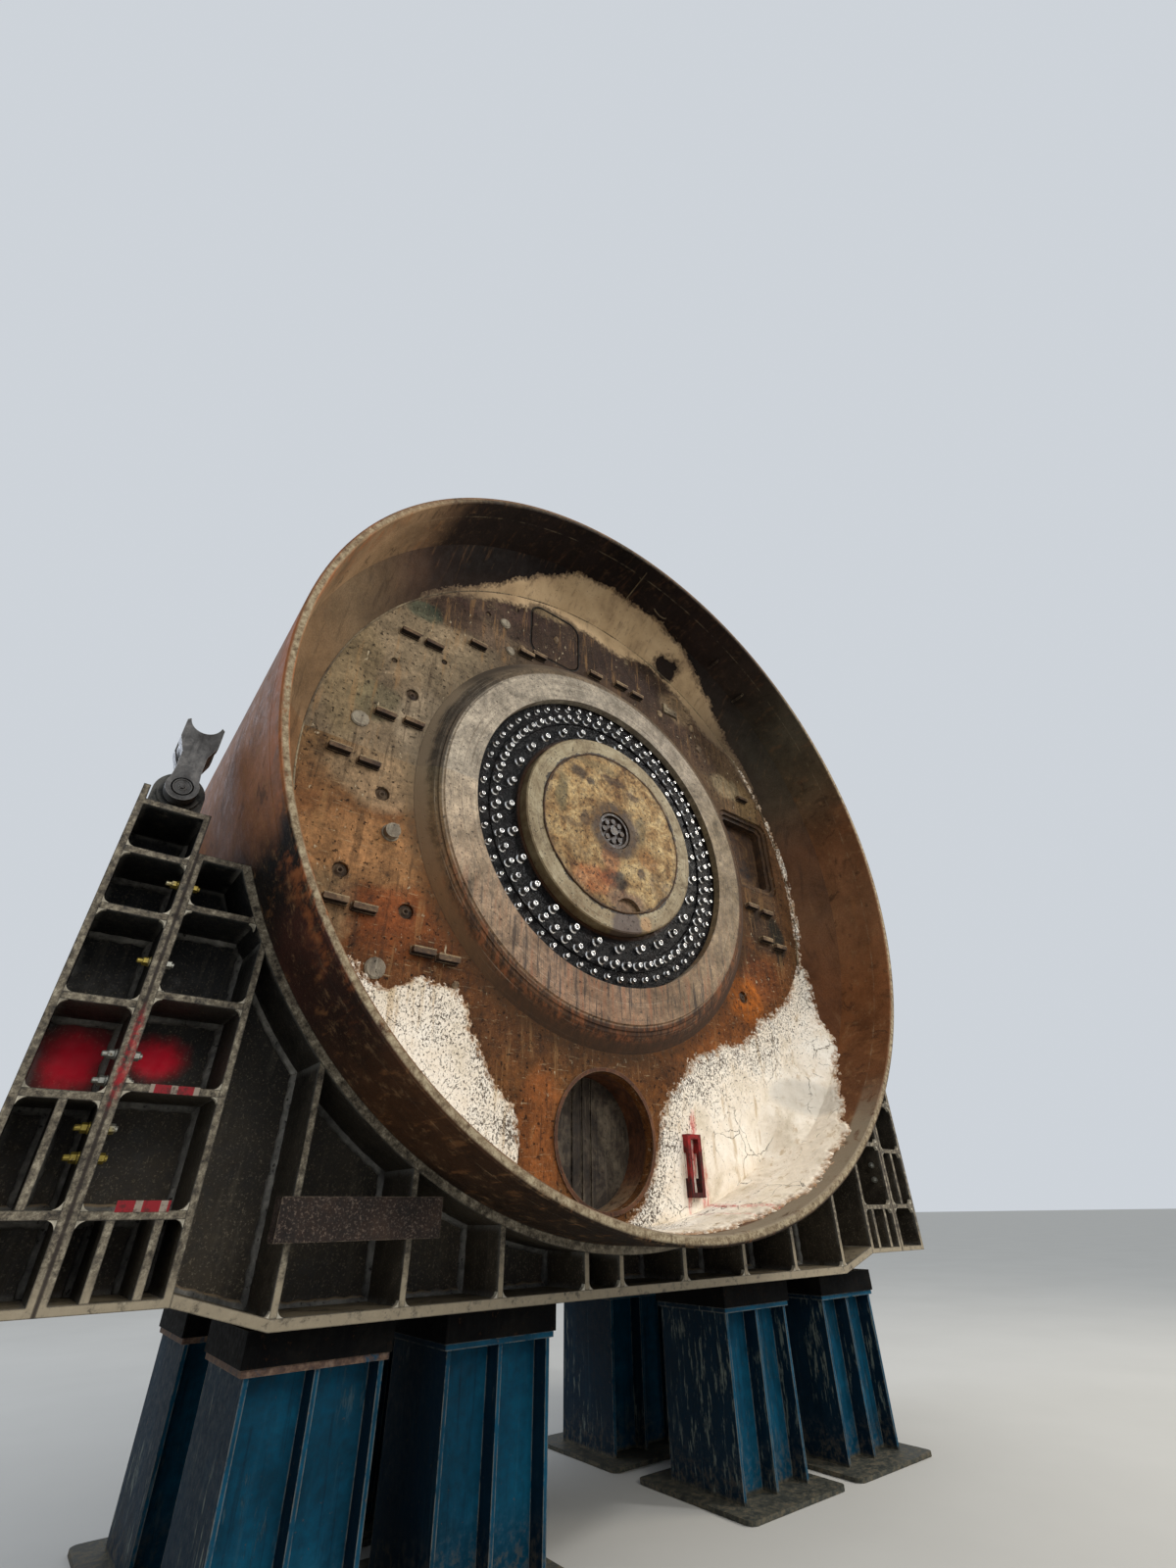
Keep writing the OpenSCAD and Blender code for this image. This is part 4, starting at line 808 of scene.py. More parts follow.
# black for the painted shade in the gap round the hatch
gapShadeBlack = greyFinish("hatchGapShadeBlack", (7, 7, 7), (14, 13, 12), (26, 23, 20), 0.0, (0.6, 0.8), (40, 34, 28), 0.2)
mudLump = brownSteelFinish("mudLumpClay", (60, 46, 34), (112, 92, 68), (156, 134, 104), 0.4, (150, 130, 100))
paleWeld = brownSteelFinish(
    "paleWeldSteel", (122, 115, 101), (176, 168, 150), (206, 199, 181), 0.3, (196, 188, 168),
)
greyWeld = brownSteelFinish(
    "greyWeldSteel", (70, 69, 66), (112, 110, 105), (142, 139, 131), 0.3, (128, 124, 115), 0.8,
)
stripPaint = stripFinish()

for names, material in (
    ("front_lip shield_skin rear_flange skin_lugs", skinSteel),
    ("sloping_band", bandSteel),
    ("bulkhead bulkhead_gussets hatch_door", wallSteel),
    ("seal_ring", ringSteel),
    ("turning_ring", grease),
    ("main_studs outer_studs inner_studs", studSteel),
    ("hub_ring", hubRingSteel),
    ("hub_disc", hubPlate),
    ("hub_nozzles", nozzleSteel),
    ("screw_lip screw_casing", redBrown),
    ("screw_gate", gateBrown),
    ("manlock_frame manlock_door hatch_hinge", darkBrown),
    ("manlock_chamber", chamberGrey),
    ("wear_bars", barBrown),
    ("port_covers", coverGrey),
    ("red_bracket", bracketRed),
    ("drive_housing gear_units rear_union", driveGrey),
    ("drive_motors", motorBlack),
    ("foot_ribs tie_beams lifting_lugs", cradleBlack),
    ("cross_box", crossBoxBrown),
    ("packing_slabs", packingBlack),
    ("front_stands rear_stands", standBlue),
):
    dress(names, material)
for side in ("front", "rear"):
    dress(f"{side}_base {side}_base_ribs {side}_saddle {side}_shelves", cradleBlack)
    dress(f"{side}_inner_columns {side}_outer_columns", cradleBlack)
    dress(f"shackle_{side}_left shackle_{side}_right pin_{side}_left pin_{side}_right", shackleGrey)
print("nodes dressed")


# helpers for new pieces

def finishPiece(name, shape, material, body=shieldBody, smooth=True):
    data = bpy.data.meshes.new(name)
    shape.to_mesh(data)
    shape.free()
    for face in data.polygons:
        face.use_smooth = smooth
    data.materials.append(material)
    piece = bpy.data.objects.new(name, data)
    scene.collection.objects.link(piece)
    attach(piece, body)
    return piece


def between(stops, value):  # a value read off a short list of (place, value)
    if value <= stops[0][0]:
        return stops[0][1]
    for (low, first), (high, second) in zip(stops, stops[1:]):
        if value <= high:
            return first + (second - first) * (value - low) / (high - low)
    return stops[-1][1]


def ripple(spot, scale, octaves=4):
    return noise.fractal(spot * scale, 0.9, 2.1, octaves)


def smoothStep(value, low, high):
    share = min(max((value - low) / (high - low), 0.0), 1.0)
    return share * share * (3 - 2 * share)


# dried slurry and mud inside the shield

# radii of the wall's start, the band's foot and the skin, depth of the band's top, and the gap in the band
drum = {"start": 1.90, "bandFoot": 2.85, "bandTop": 0.56, "skin": 3.139, "gap": (-130.0, -50.0)}
bandRun = math.hypot(drum["skin"] - drum["bandFoot"], wallDepth - drum["bandTop"])
drumWays = {
    True: [(drum["start"], wallDepth), (drum["bandFoot"], wallDepth), (drum["skin"], drum["bandTop"]),
           (drum["skin"], 0.0)],
    False: [(drum["start"], wallDepth), (drum["skin"], wallDepth), (drum["skin"], 0.0)],
}


def along(banded, distance):  # radius and depth at a distance along wall, band and skin
    way = drumWays[banded]
    for first, second in zip(way, way[1:]):
        run = math.dist(first, second)
        if distance <= run or second is way[-1]:
            share = distance / run
            return first[0] + (second[0] - first[0]) * share, first[1] + (second[1] - first[1]) * share
        distance -= run


def reach(banded, radius=None, depth=None):  # distance along the same way
    if radius is not None:
        if banded and radius > drum["bandFoot"]:
            share = (radius - drum["bandFoot"]) / (drum["skin"] - drum["bandFoot"])
            return drum["bandFoot"] - drum["start"] + share * bandRun
        return radius - drum["start"]
    if not banded:
        return drum["skin"] - drum["start"] + wallDepth - depth
    foot = drum["bandFoot"] - drum["start"]
    if depth > drum["bandTop"]:
        return foot + (wallDepth - depth) / (wallDepth - drum["bandTop"]) * bandRun
    return foot + bandRun + drum["bandTop"] - depth


crustShape = {  # in metres
    "meanRadius": 2.75, "beyond": 0.08,  # the sheet goes past its edges by this share
    "rise": 0.045, "lumpRise": 0.05, "least": 0.0015, "lift": 0.0005,  # how it thickens inwards from its edge
    "sink": 0.35, "deepest": -0.02, "buried": -0.015, "hatchGap": 0.022,
}


def onDrum(plan, angle, share):  # a spot of the sheet, the way it faces, how far from its inner and front edge
    inner, front = between(plan["innerEdge"], angle), between(plan["frontEdge"], angle)
    left, right = drum["gap"]
    if angle < -90:
        bandShare = smoothStep(angle, left + 9, left + 1)
    else:
        bandShare = smoothStep(angle, right - 9, right - 1)
    spot, lean, fromInner, toFront = Vector(), Vector(), 0.0, 0.0
    for banded, weight in ((True, bandShare), (False, 1 - bandShare)):
        if weight > 0:
            start, stop = reach(banded, radius=inner), reach(banded, depth=front)
            distance = max(start + (stop - start) * share, 0.02)
            radius, depth = along(banded, distance)
            spot += around(radius, angle, depth) * weight
            before, after = along(banded, distance - 0.05), along(banded, distance + 0.05)
            turned = Vector((-(before[1] - after[1]), -(after[0] - before[0]))).normalized()
            flat = around(1.0, angle, turned.y) - around(0.0, angle, 0.0)
            lean += Vector((flat.x * turned.x, turned.y, flat.z * turned.x)) * weight
            fromInner += (distance - start) * weight
            toFront += (stop - distance) * weight
    return spot, lean.normalized(), fromInner, toFront


def clearance(plan, spot, angle, radius):  # how far bare patches and a hatch that opens keep the sheet away
    gaps = [math.inf]
    for middleAngle, middleRadius, halfWide, halfHigh in plan.get("bare", ()):
        sideways = math.radians(angle - middleAngle) * 2.9 / halfWide
        gaps.append((math.hypot(sideways, (radius - middleRadius) / halfHigh) - 1.0 + ripple(spot, 7.0) * 0.5) * 0.12)
    for x, z, halfWide, halfHigh, corner in plan.get("clear", ()):
        pastX, pastZ = abs(spot.x - x) - halfWide + corner, abs(spot.z - axisZ - z) - halfHigh + corner
        gaps.append(math.hypot(max(pastX, 0), max(pastZ, 0)) - corner - crustShape["hatchGap"])
    return min(gaps)


def crust(name, plan, material):
    firstAngle, lastAngle = plan["innerEdge"][0][0], plan["innerEdge"][-1][0]
    columns = int(math.radians(lastAngle - firstAngle) * crustShape["meanRadius"] / plan["pitch"])
    sheet = bmesh.new()
    bmesh.ops.create_grid(sheet, x_segments=columns, y_segments=plan["rows"], size=0.5)
    seams = {}
    for vert in sheet.verts:
        angle = firstAngle + (lastAngle - firstAngle) * (vert.co.x + 0.5)
        share = (vert.co.y + 0.5) * (1 + 2 * crustShape["beyond"]) - crustShape["beyond"]
        spot, lean, fromInner, toFront = onDrum(plan, angle, share)
        toEnd = math.radians(min(angle - firstAngle, lastAngle - angle)) * crustShape["meanRadius"]
        ragged = plan["ragged"] * (ripple(spot, 2.6) + ripple(spot, 11.0) * 0.45 + ripple(spot, 36.0, 3) * 0.75)
        radius = fromInner + between(plan["innerEdge"], angle)
        away = min(min(fromInner, toFront, toEnd) + ragged, clearance(plan, spot, angle, radius))
        if away > 0:
            lumps = ripple(spot, 6.0) * plan["lumps"] * min(away / crustShape["lumpRise"], 1.0)
            thick = plan["thick"] * (1 - math.exp(-away / crustShape["rise"])) + lumps
            thick = max(thick, crustShape["least"])
        else:
            thick = max(away * crustShape["sink"], crustShape["deepest"])
        seams[vert.index] = (fromInner + ragged, away)
        vert.co = spot + lean * (thick + crustShape["lift"])
    layer = sheet.loops.layers.uv.new("UVMap")
    for face in sheet.faces:
        for loop in face.loops:
            loop[layer].uv = seams[loop.vert.index]
    deep = crustShape["buried"]
    buried = [face for face in sheet.faces if all(seams[vert.index][1] < deep for vert in face.verts)]
    bmesh.ops.delete(sheet, geom=buried, context="FACES")
    bmesh.ops.recalc_face_normals(sheet, faces=sheet.faces)
    if sum((face.normal.dot(face.calc_center_median() - at(0, 0.2, 0)) for face in list(sheet.faces)[::50])) > 0:
        bmesh.ops.reverse_faces(sheet, faces=sheet.faces)
    return finishPiece(name, sheet, material)


# edges as angle and radius on the wall's side, angle and depth on the rim's side; pitch and rows set the mesh
rightSlurry = {
    "innerEdge": [
        (-94, 3.10), (-89, 3.06), (-84.6, 2.95), (-80.7, 2.675), (-78.9, 2.446), (-74.8, 2.238), (-61.7, 2.09),
        (-39.9, 2.37), (-23.7, 2.74), (-16.2, 2.83), (-5, 2.82), (10, 2.83), (34, 2.84), (40, 2.86),
    ],
    "frontEdge": [
        (-94, 0.30), (-82.6, 0.21), (-64.5, 0.18), (-51.5, 0.16), (-49, 0.32), (-32, 0.56), (-27, 0.74),
        (-20, 0.80), (-14, 0.85), (-5, 0.87), (10, 0.875), (40, 0.89),
    ],
    "pitch": 0.011, "rows": 150, "thick": 0.022, "lumps": 0.008, "ragged": 0.07,
}
leftSlurry = {
    "innerEdge": [(-150, 2.84), (-145.7, 2.77), (-137.8, 2.62), (-135.5, 2.38), (-130.3, 2.228), (-126.5, 2.238),
                  (-117.6, 2.415), (-110.4, 2.571), (-107.6, 2.759), (-106.9, 2.917), (-103, 3.05), (-98, 3.10)],
    "frontEdge": [(-150, 0.84), (-142, 0.62), (-128, 0.40), (-112, 0.34), (-98, 0.52)],
    "pitch": 0.011, "rows": 150, "thick": 0.016, "lumps": 0.006, "ragged": 0.07,
}
topMud = {
    "innerEdge": [
        (28, 2.83), (34, 2.80), (42, 2.80), (48, 2.66), (52, 2.63), (59, 2.67), (66, 2.75), (73, 2.84), (82, 2.59),
        (87, 2.60), (98, 2.63), (110, 2.70), (114, 2.69), (120, 2.72), (133, 2.80), (140, 2.83),
    ],
    "frontEdge": [
        (28, 0.87), (34, 0.86), (43, 0.84), (52, 0.78), (63, 0.66), (72, 0.54), (80, 0.51), (89, 0.52), (97, 0.54),
        (104, 0.60), (111, 0.70), (118, 0.82), (127, 0.85), (140, 0.87),
    ],
    "bare": [(69.5, 2.95, 0.16, 0.13)],  # angle, radius, half sizes
    "clear": [(-0.62, 2.29, 0.32, 0.36, 0.15)],  # the hatch: x, z, half sizes, corner
    "pitch": 0.012, "rows": 84, "thick": 0.008, "lumps": 0.003, "ragged": 0.045,
}

redRuns = [  # x, z, half width, half height, strength
    (0.80, -2.62, 0.035, 0.20, 0.8), (0.90, -2.86, 0.04, 0.16, 0.75), (0.72, -2.90, 0.022, 0.14, 0.7),
    (0.83, -2.40, 0.03, 0.08, 0.6),
]


def slurryFinish():
    look = Finish("driedSlurry", 0.9)
    fromInner, away = look.split(look.uv)[:2]
    cloud = look.noise(2.6, 8, 0.68, twist=0.4)
    grain = look.noise(24.0, 9, 0.74)
    fine = look.noise(80.0, 6, 0.74)
    base = look.ramp(cloud, [
        (0.32, (208, 194, 170)), (0.46, (240, 228, 210)), (0.60, (250, 242, 228)), (0.74, (230, 220, 202)),
    ])
    lowPart = look.times(look.mask(look.depth, 0.62, 0.48), look.mask(look.z, -1.8, -2.4))
    drips = look.streaks(15.0, 15.0, 1.6, 7, 0.68)
    smooth = look.patch(look.wander(0.10, 5.0, 4), 2.12, -2.14, 0.24, 0.17, 0.5)
    border = look.times(look.mask(fromInner, 0.90, 0.0), look.span(cloud, 0.38, 0.62, 0.55, 1.10))
    flecks = look.streaks(70.0, 70.0, 52.0, 6, 0.74)
    limit = look.calc("MULTIPLY_ADD", border, -0.14, 0.640)
    spots = look.mask(look.calc("SUBTRACT", flecks, limit), 0.0, 0.025)
    small = look.mask(look.calc("SUBTRACT", fine, look.calc("MULTIPLY_ADD", border, -0.10, 0.66)), 0.0, 0.04)
    spots = look.calc("MAXIMUM", spots, small)
    spots = look.times(spots, look.calc("MULTIPLY_ADD", look.calc("MAXIMUM", smooth, lowPart), -0.8, 1.0))
    edge = look.times(look.mask(away, 0.07, 0.0), look.mask(grain, 0.38, 0.52))
    crack = look.cracks(3.4, look.wander(0.16, 4.0, 5))
    crackLine = look.times(look.mask(crack, 0.010, 0.003), look.mask(cloud, 0.46, 0.54))
    runs = look.streaks(40.0, 40.0, 7.0, 6, 0.72)
    base = look.coats(base, [
        ((cloud, 0.38, 0.60), 0.5, (236, 218, 188), lowPart),
        ((drips, 0.55, 0.66), 0.6, (188, 160, 118)),
        (smooth, 0.6, (196, 190, 178)),
        (spots, 0.92, look.ramp(cloud, [(0.40, (34, 27, 23)), (0.60, (70, 50, 34))])),
        (edge, 0.85, (146, 102, 58)),
        (crackLine, 0.8, (96, 82, 62)),
    ])
    for x, z, wide, high, strength in redRuns:
        run = look.patch(look.wander(0.06, 16.0, 4), x, z, wide, high, 0.8)
        base = look.coats(base, [((runs, 0.40, 0.56), strength, (204, 42, 42), run)])
    whole = look.calc("SUBTRACT", look.calc("SUBTRACT", 1.0, spots), crackLine)
    look.relief((cloud, 0.010, 0.8), (grain, 0.006, 0.9), (whole, 0.005, 0.9))
    return look.done(base)


def mudFinish():
    look = Finish("driedMud", 0.9)
    away = look.split(look.uv)[1]
    cloud = look.noise(2.4, 8, 0.66, twist=0.4)
    grain = look.noise(26.0, 9, 0.74)
    base = look.ramp(cloud, [
        (0.32, (152, 127, 98)), (0.46, (182, 155, 119)), (0.62, (195, 168, 132)), (0.76, (168, 141, 108)),
    ])
    drips = look.streaks(14.0, 5.0, 2.0, 6, 0.66)
    border = look.mask(look.calc("MULTIPLY_ADD", grain, 0.20, away), 0.17, 0.10)
    base = look.coats(base, [
        ((look.z, 2.72, 2.0), 0.80, (80, 65, 50)),
        ((drips, 0.46, 0.34), 0.4, (92, 74, 56)),
        (border, 0.8, (62, 47, 37)),
        (look.spots(44.0, 4, 0.6, 0.63, 0.70), 0.7, (58, 46, 36)),
    ])
    look.relief((cloud, 0.008, 0.8), (grain, 0.005, 0.9))
    return look.done(base)


slurry = slurryFinish()
mud = mudFinish()
crust("slurry_right", rightSlurry, slurry)
crust("slurry_left", leftSlurry, slurry)
crust("mud_top", topMud, mud)
print("slurry and mud laid")


# studs of the turning ring

studRows = {  # by node: how many, the circle's radius, the first one's angle, a stud's radius and its sides
    "main_studs": {"count": 60, "circle": 1.26, "start": 0.0, "radius": 0.024, "sides": 20},
    "outer_studs": {"count": 60, "circle": 1.378, "start": 3.0, "radius": 0.018, "sides": 16},
    "inner_studs": {"count": 28, "circle": 1.11, "start": 4.0, "radius": 0.028, "sides": 20},
}
studShape = {  # radius and depth as shares of a stud's radius
    "tip": [(0.0, 0.22), (0.20, 0.24), (0.32, 0.62), (0.52, 0.62), (0.60, 0.06), (0.66, 0.0), (0.86, 0.0), (1.0, 0.18)],
    "foot": [(1.0, -0.5), (1.12, -0.22)],
    "collar": 1.55, "sunk": 0.001,  # the collar of grease at the foot
}


def studRow(node, plan):
    low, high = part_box(node)
    tip, foot = low.y - rimY, high.y - rimY
    size, others = plan["radius"], plan["count"] - 1
    turned = [(size * wide, tip + size * back) for wide, back in studShape["tip"]]
    turned += [(size * wide, foot + size * back) for wide, back in studShape["foot"]]
    turned.append((size * studShape["collar"], foot + studShape["sunk"]))
    row = bmesh.new()
    middle = around(plan["circle"], plan["start"], 0.0)
    points = [row.verts.new(middle + Vector((radius, depth, 0.0))) for radius, depth in turned]
    edges = [row.edges.new(pair) for pair in zip(points, points[1:])]
    bmesh.ops.spin(row, geom=points + edges, cent=middle, axis=(0, 1, 0), angle=math.tau, steps=plan["sides"],
                   use_merge=True)
    bmesh.ops.remove_doubles(row, verts=row.verts, dist=0.0002)
    bmesh.ops.recalc_face_normals(row, faces=row.faces)
    if min(row.faces, key=lambda face: face.calc_center_median().y).normal.y > 0:
        bmesh.ops.reverse_faces(row, faces=row.faces)
    everything = list(row.verts) + list(row.edges) + list(row.faces)
    bmesh.ops.spin(row, geom=everything, cent=at(0, 0, 0), axis=(0, 1, 0), angle=math.tau * others / plan["count"],
                   steps=others, use_duplicate=True)
    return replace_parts(finishPiece(node + "_bare", row, studSteel, ringBody), node)


for node, plan in studRows.items():
    studRow(node, plan)
print("studs set")


# small steel parts: turned parts, weld beads, plates and bolts

def joinTo(shape, part):  # adds a finished small part to a larger one
    carrier = bpy.data.meshes.new("carrier")
    part.to_mesh(carrier)
    part.free()
    shape.from_mesh(carrier)
    bpy.data.meshes.remove(carrier)


def turnedPart(shape, middle, profile, sides=20, axis="Y"):  # profile: radius, distance along the axis
    way, outward = {"X": ((1, 0, 0), (0, 0, 1)), "Y": ((0, 1, 0), (1, 0, 0)), "Z": ((0, 0, 1), (1, 0, 0))}[axis]
    way, outward = Vector(way), Vector(outward)
    part = bmesh.new()
    points = [part.verts.new(middle + outward * radius + way * distance) for radius, distance in profile]
    edges = [part.edges.new(pair) for pair in zip(points, points[1:])]
    bmesh.ops.spin(part, geom=points + edges, cent=middle, axis=way, angle=math.tau, steps=sides, use_merge=True)
    joinTo(shape, part)


def tube(shape, path, size, sides=6, closed=False, lumpy=0.0):
    spots = path + [path[0]] if closed else path
    last = len(spots) - 1
    part = bmesh.new()
    bmesh.ops.create_cone(part, cap_ends=not closed, segments=sides, radius1=size, radius2=size, depth=last,
                          matrix=Matrix.Translation((0, 0, last / 2)))
    lengthways = [edge for edge in part.edges if abs(edge.verts[0].co.z - edge.verts[1].co.z) > last / 2]
    if last > 1:
        bmesh.ops.subdivide_edges(part, edges=lengthways, cuts=last - 1)
    rings = [[] for spot in spots]
    for vert in part.verts:
        rings[round(vert.co.z)].append(vert)
    side = (spots[1] - spots[0]).orthogonal().normalized()
    for number, ring in enumerate(rings):  # each ring goes to its spot on the path
        before = spots[number - 1] if number else spots[-2] if closed else spots[0]
        after = spots[number + 1] if number < last else spots[1] if closed else spots[last]
        heading = (after - before).normalized()
        side = (side - heading * side.dot(heading)).normalized()
        up = heading.cross(side)
        swell = 1 + lumpy * (1.8 * noise.noise(spots[number] * 45.0) + (1 if number % last % 2 else -1))
        for vert in ring:
            vert.co = spots[number] + (side * vert.co.x + up * vert.co.y) * swell
    bmesh.ops.remove_doubles(part, verts=part.verts, dist=size * 0.05)
    joinTo(shape, part)


def weldBead(shape, path, size, sides=6, closed=False):
    tube(shape, path, size, sides, closed, 0.12)


def block(shape, low, high, edge=0.0):
    part = bmesh.new()
    place = Matrix.Translation((low + high) / 2) @ Matrix.Diagonal((*(high - low), 1.0))
    bmesh.ops.create_cube(part, size=1.0, matrix=place)
    if edge:
        bmesh.ops.bevel(part, geom=part.edges[:], offset=edge, segments=2, affect="EDGES", profile=0.5, material=-1)
    joinTo(shape, part)


def plate(shape, outline, push):  # a flat outline given thickness
    part = bmesh.new()
    face = part.faces.new([part.verts.new(spot) for spot in outline])
    pushed = bmesh.ops.extrude_face_region(part, geom=[face], use_keep_orig=True)["geom"]
    bmesh.ops.translate(part, verts=[item for item in pushed if isinstance(item, bmesh.types.BMVert)], vec=push)
    bmesh.ops.recalc_face_normals(part, faces=part.faces)
    joinTo(shape, part)


def closeUp(shape):
    bmesh.ops.remove_doubles(shape, verts=shape.verts, dist=0.00005)
    bmesh.ops.recalc_face_normals(shape, faces=shape.faces)
    return shape


def loosePieces(node):  # the boxes of a node's separate solids
    copy = bmesh.new()
    copy.from_mesh(nodes[node].data)
    bmesh.ops.remove_doubles(copy, verts=copy.verts, dist=0.00001)
    unseen, boxes = set(copy.verts), []
    while unseen:
        edge, low, high = [unseen.pop()], Vector((1e9,) * 3), Vector((-1e9,) * 3)
        while edge:
            vert = edge.pop()
            low = Vector(map(min, low, vert.co))
            high = Vector(map(max, high, vert.co))
            for link in vert.link_edges:
                other = link.other_vert(vert)
                if other in unseen:
                    unseen.remove(other)
                    edge.append(other)
        boxes.append((low, high))
    copy.free()
    return sorted(boxes, key=lambda box: (round(box[0].x, 3), round(box[0].y, 3), round(box[0].z, 3)))


def onCircle(x, z, radius, turn, depth):  # turn in radians
    return at(x + radius * math.cos(turn), depth, z + radius * math.sin(turn))


def spaced(corners, pitch):  # a closed path with spots at a pitch between its corners
    path = []
    for first, second in zip(corners, corners[1:] + corners[:1]):
        steps = max(int((second - first).length / pitch), 1)
        path += [first.lerp(second, n / steps) for n in range(steps)]
    return path


def roundedPath(x, z, halfWide, halfHigh, corner, depth, pitch):
    corners = []
    for number, (sideX, sideZ) in enumerate(((1, 1), (-1, 1), (-1, -1), (1, -1))):
        cornerX, cornerZ = x + sideX * (halfWide - corner), z + sideZ * (halfHigh - corner)
        corners += [onCircle(cornerX, cornerZ, corner, math.pi / 2 * (number + step / 8), depth) for step in range(9)]
    return spaced(corners, pitch)


def rectanglePath(low, high, depth, pitch):
    corners = [(low.x, low.z), (high.x, low.z), (high.x, high.z), (low.x, high.z)]
    return spaced([Vector((x, rimY + depth, z)) for x, z in corners], pitch)


def ringPath(radius, depth, first, last, pitch=0.02, wobble=0.0):
    steps = int(math.radians(abs(last - first)) * radius / pitch)
    path = []
    for number in range(steps + 1):
        angle = first + (last - first) * number / steps
        spot = around(radius, angle, depth)
        path.append(around(radius + wobble * noise.noise(spot * 6.0), angle, depth))
    return path


# weld beads of the shield: wall to band, wall to skin where no band lies, round each bar and each cover
shieldWeld = {"wall": 0.010, "skin": 0.012, "bar": 0.009, "cover": 0.008, "sunk": 0.003, "sides": 5, "pitch": 0.014,
              "coverSteps": 26, "coverGap": 0.004, "gap": (-131, -49)}  # the gap is where no band lies, in degrees
wallWelds = bmesh.new()
gapStart, gapEnd = shieldWeld["gap"]
weldBead(wallWelds, ringPath(drum["bandFoot"] + 0.004, wallDepth - 0.006, gapEnd, gapStart + 360), shieldWeld["wall"])
weldBead(wallWelds, ringPath(drum["skin"] - 0.002, wallDepth - 0.002, gapStart, gapEnd), shieldWeld["skin"])
finishPiece("drum_welds", closeUp(wallWelds), weldLook)

barWelds = bmesh.new()
weldDepth = wallDepth - shieldWeld["sunk"]
for low, high in loosePieces("wear_bars"):
    path = rectanglePath(low, high, weldDepth, shieldWeld["pitch"])
    weldBead(barWelds, path, shieldWeld["bar"], shieldWeld["sides"], True)
finishPiece("bar_welds", closeUp(barWelds), barBrown)

coverWelds = bmesh.new()
for low, high in loosePieces("port_covers"):
    middle, radius = (low + high) / 2, (high.x - low.x) / 2 + shieldWeld["coverGap"]
    turns = [math.tau * n / shieldWeld["coverSteps"] for n in range(shieldWeld["coverSteps"])]
    path = [onCircle(middle.x, middle.z - axisZ, radius, turn, weldDepth) for turn in turns]
    weldBead(coverWelds, path, shieldWeld["cover"], shieldWeld["sides"], True)
finishPiece("cover_welds", closeUp(coverWelds), coverGrey)

# the screw's gate: a sliding plate with three upright ribs
gatePlate = {"radius": 0.450, "front": 1.176, "thick": 0.020, "edge": 0.003, "dish": (0.20, 0.002), "flat": 0.40,
             "ribs": [(-0.125, 0.020), (-0.030, 0.018), (0.055, 0.008)], "ribHigh": 0.014}  # ribs: left side, width
gateLow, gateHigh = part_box("screw_gate")
gateX, gateZ = (gateLow.x + gateHigh.x) / 2, (gateLow.z + gateHigh.z) / 2 - axisZ
gateRadius, gateEdge = gatePlate["radius"], gatePlate["edge"]
gateShape = bmesh.new()
turnedPart(gateShape, at(gateX, gatePlate["front"], gateZ), [
    (0.0, 0.0), gatePlate["dish"], (gatePlate["flat"], 0.0), (gateRadius - gateEdge, 0.0), (gateRadius, gateEdge),
    (gateRadius, gatePlate["thick"]), (0.0, gatePlate["thick"])], 64)
for left, wide in gatePlate["ribs"]:
    tall = math.sqrt(gateRadius ** 2 - max(abs(left), abs(left + wide)) ** 2) - 0.006
    block(gateShape, at(gateX + left, gatePlate["front"] - gatePlate["ribHigh"], gateZ - tall),
          at(gateX + left + wide, gatePlate["front"] + 0.002, gateZ + tall), 0.003)
gatePiece = finishPiece("screw_gate_plate", closeUp(gateShape), gateBrown, smooth=False)
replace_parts(gatePiece, "screw_gate")

# a black line round the hatch, a dark piece that stands for the painted shade in the gap round the door
hatchGapLine = {"x": -0.62, "z": 2.29, "halfWide": 0.324, "halfHigh": 0.364, "corner": 0.152, "proud": 0.003,
             "pitch": 0.02, "size": 0.0068}
hatchGapMesh = bmesh.new()
hatchGapPath = roundedPath(hatchGapLine["x"], hatchGapLine["z"], hatchGapLine["halfWide"], hatchGapLine["halfHigh"],
                       hatchGapLine["corner"], wallDepth + hatchGapLine["proud"], hatchGapLine["pitch"])
weldBead(hatchGapMesh, hatchGapPath, hatchGapLine["size"], 6, True)
finishPiece("hatch_gap_shade", closeUp(hatchGapMesh), gapShadeBlack)

# a conduit, a loop and a clip on the skin, and a small bolted box on the wall; angles in degrees
fittings = {
    "conduit": {"radius": 3.128, "angles": (88.6, -1.1), "depths": (0.10, 0.45), "size": 0.0075},
    "loops": [  # how far in, power of its curve, steps, first angle, turn, depth, thickness, sides
        (0.055, 0.6, 14, 81.0, 3.6, 0.42, 0.009, 8), (0.02, 1.0, 8, 88.9, 0.8, 0.20, 0.005, 6),
    ],
    "boxes": [(1.095, 2.095, 0.22, 0.10), (1.02, 2.16, 0.06, 0.05)],  # x, z, width, height
    "boxFront": 0.026, "boxSunk": 0.003, "boxEdge": 0.006, "boltApart": 0.07,
    "bolt": [(0.0, -0.010), (0.010, -0.010), (0.013, -0.006), (0.013, 0.002), (0.0, 0.002)],
}
skinFittings = bmesh.new()
(startAngle, turnBy), (startDepth, farBy) = fittings["conduit"]["angles"], fittings["conduit"]["depths"]
rod = [around(fittings["conduit"]["radius"], startAngle + turnBy * n / 30, startDepth + farBy * n / 30)
       for n in range(31)]
tube(skinFittings, rod, fittings["conduit"]["size"], 8)
for inward, power, steps, angle, turnBy, depth, size, sides in fittings["loops"]:
    path = [around(drum["skin"] - inward * math.sin(math.pi * n / steps) ** power, angle - turnBy * n / steps, depth)
            for n in range(steps + 1)]
    tube(skinFittings, path, size, sides)
boxFront = wallDepth - fittings["boxFront"]
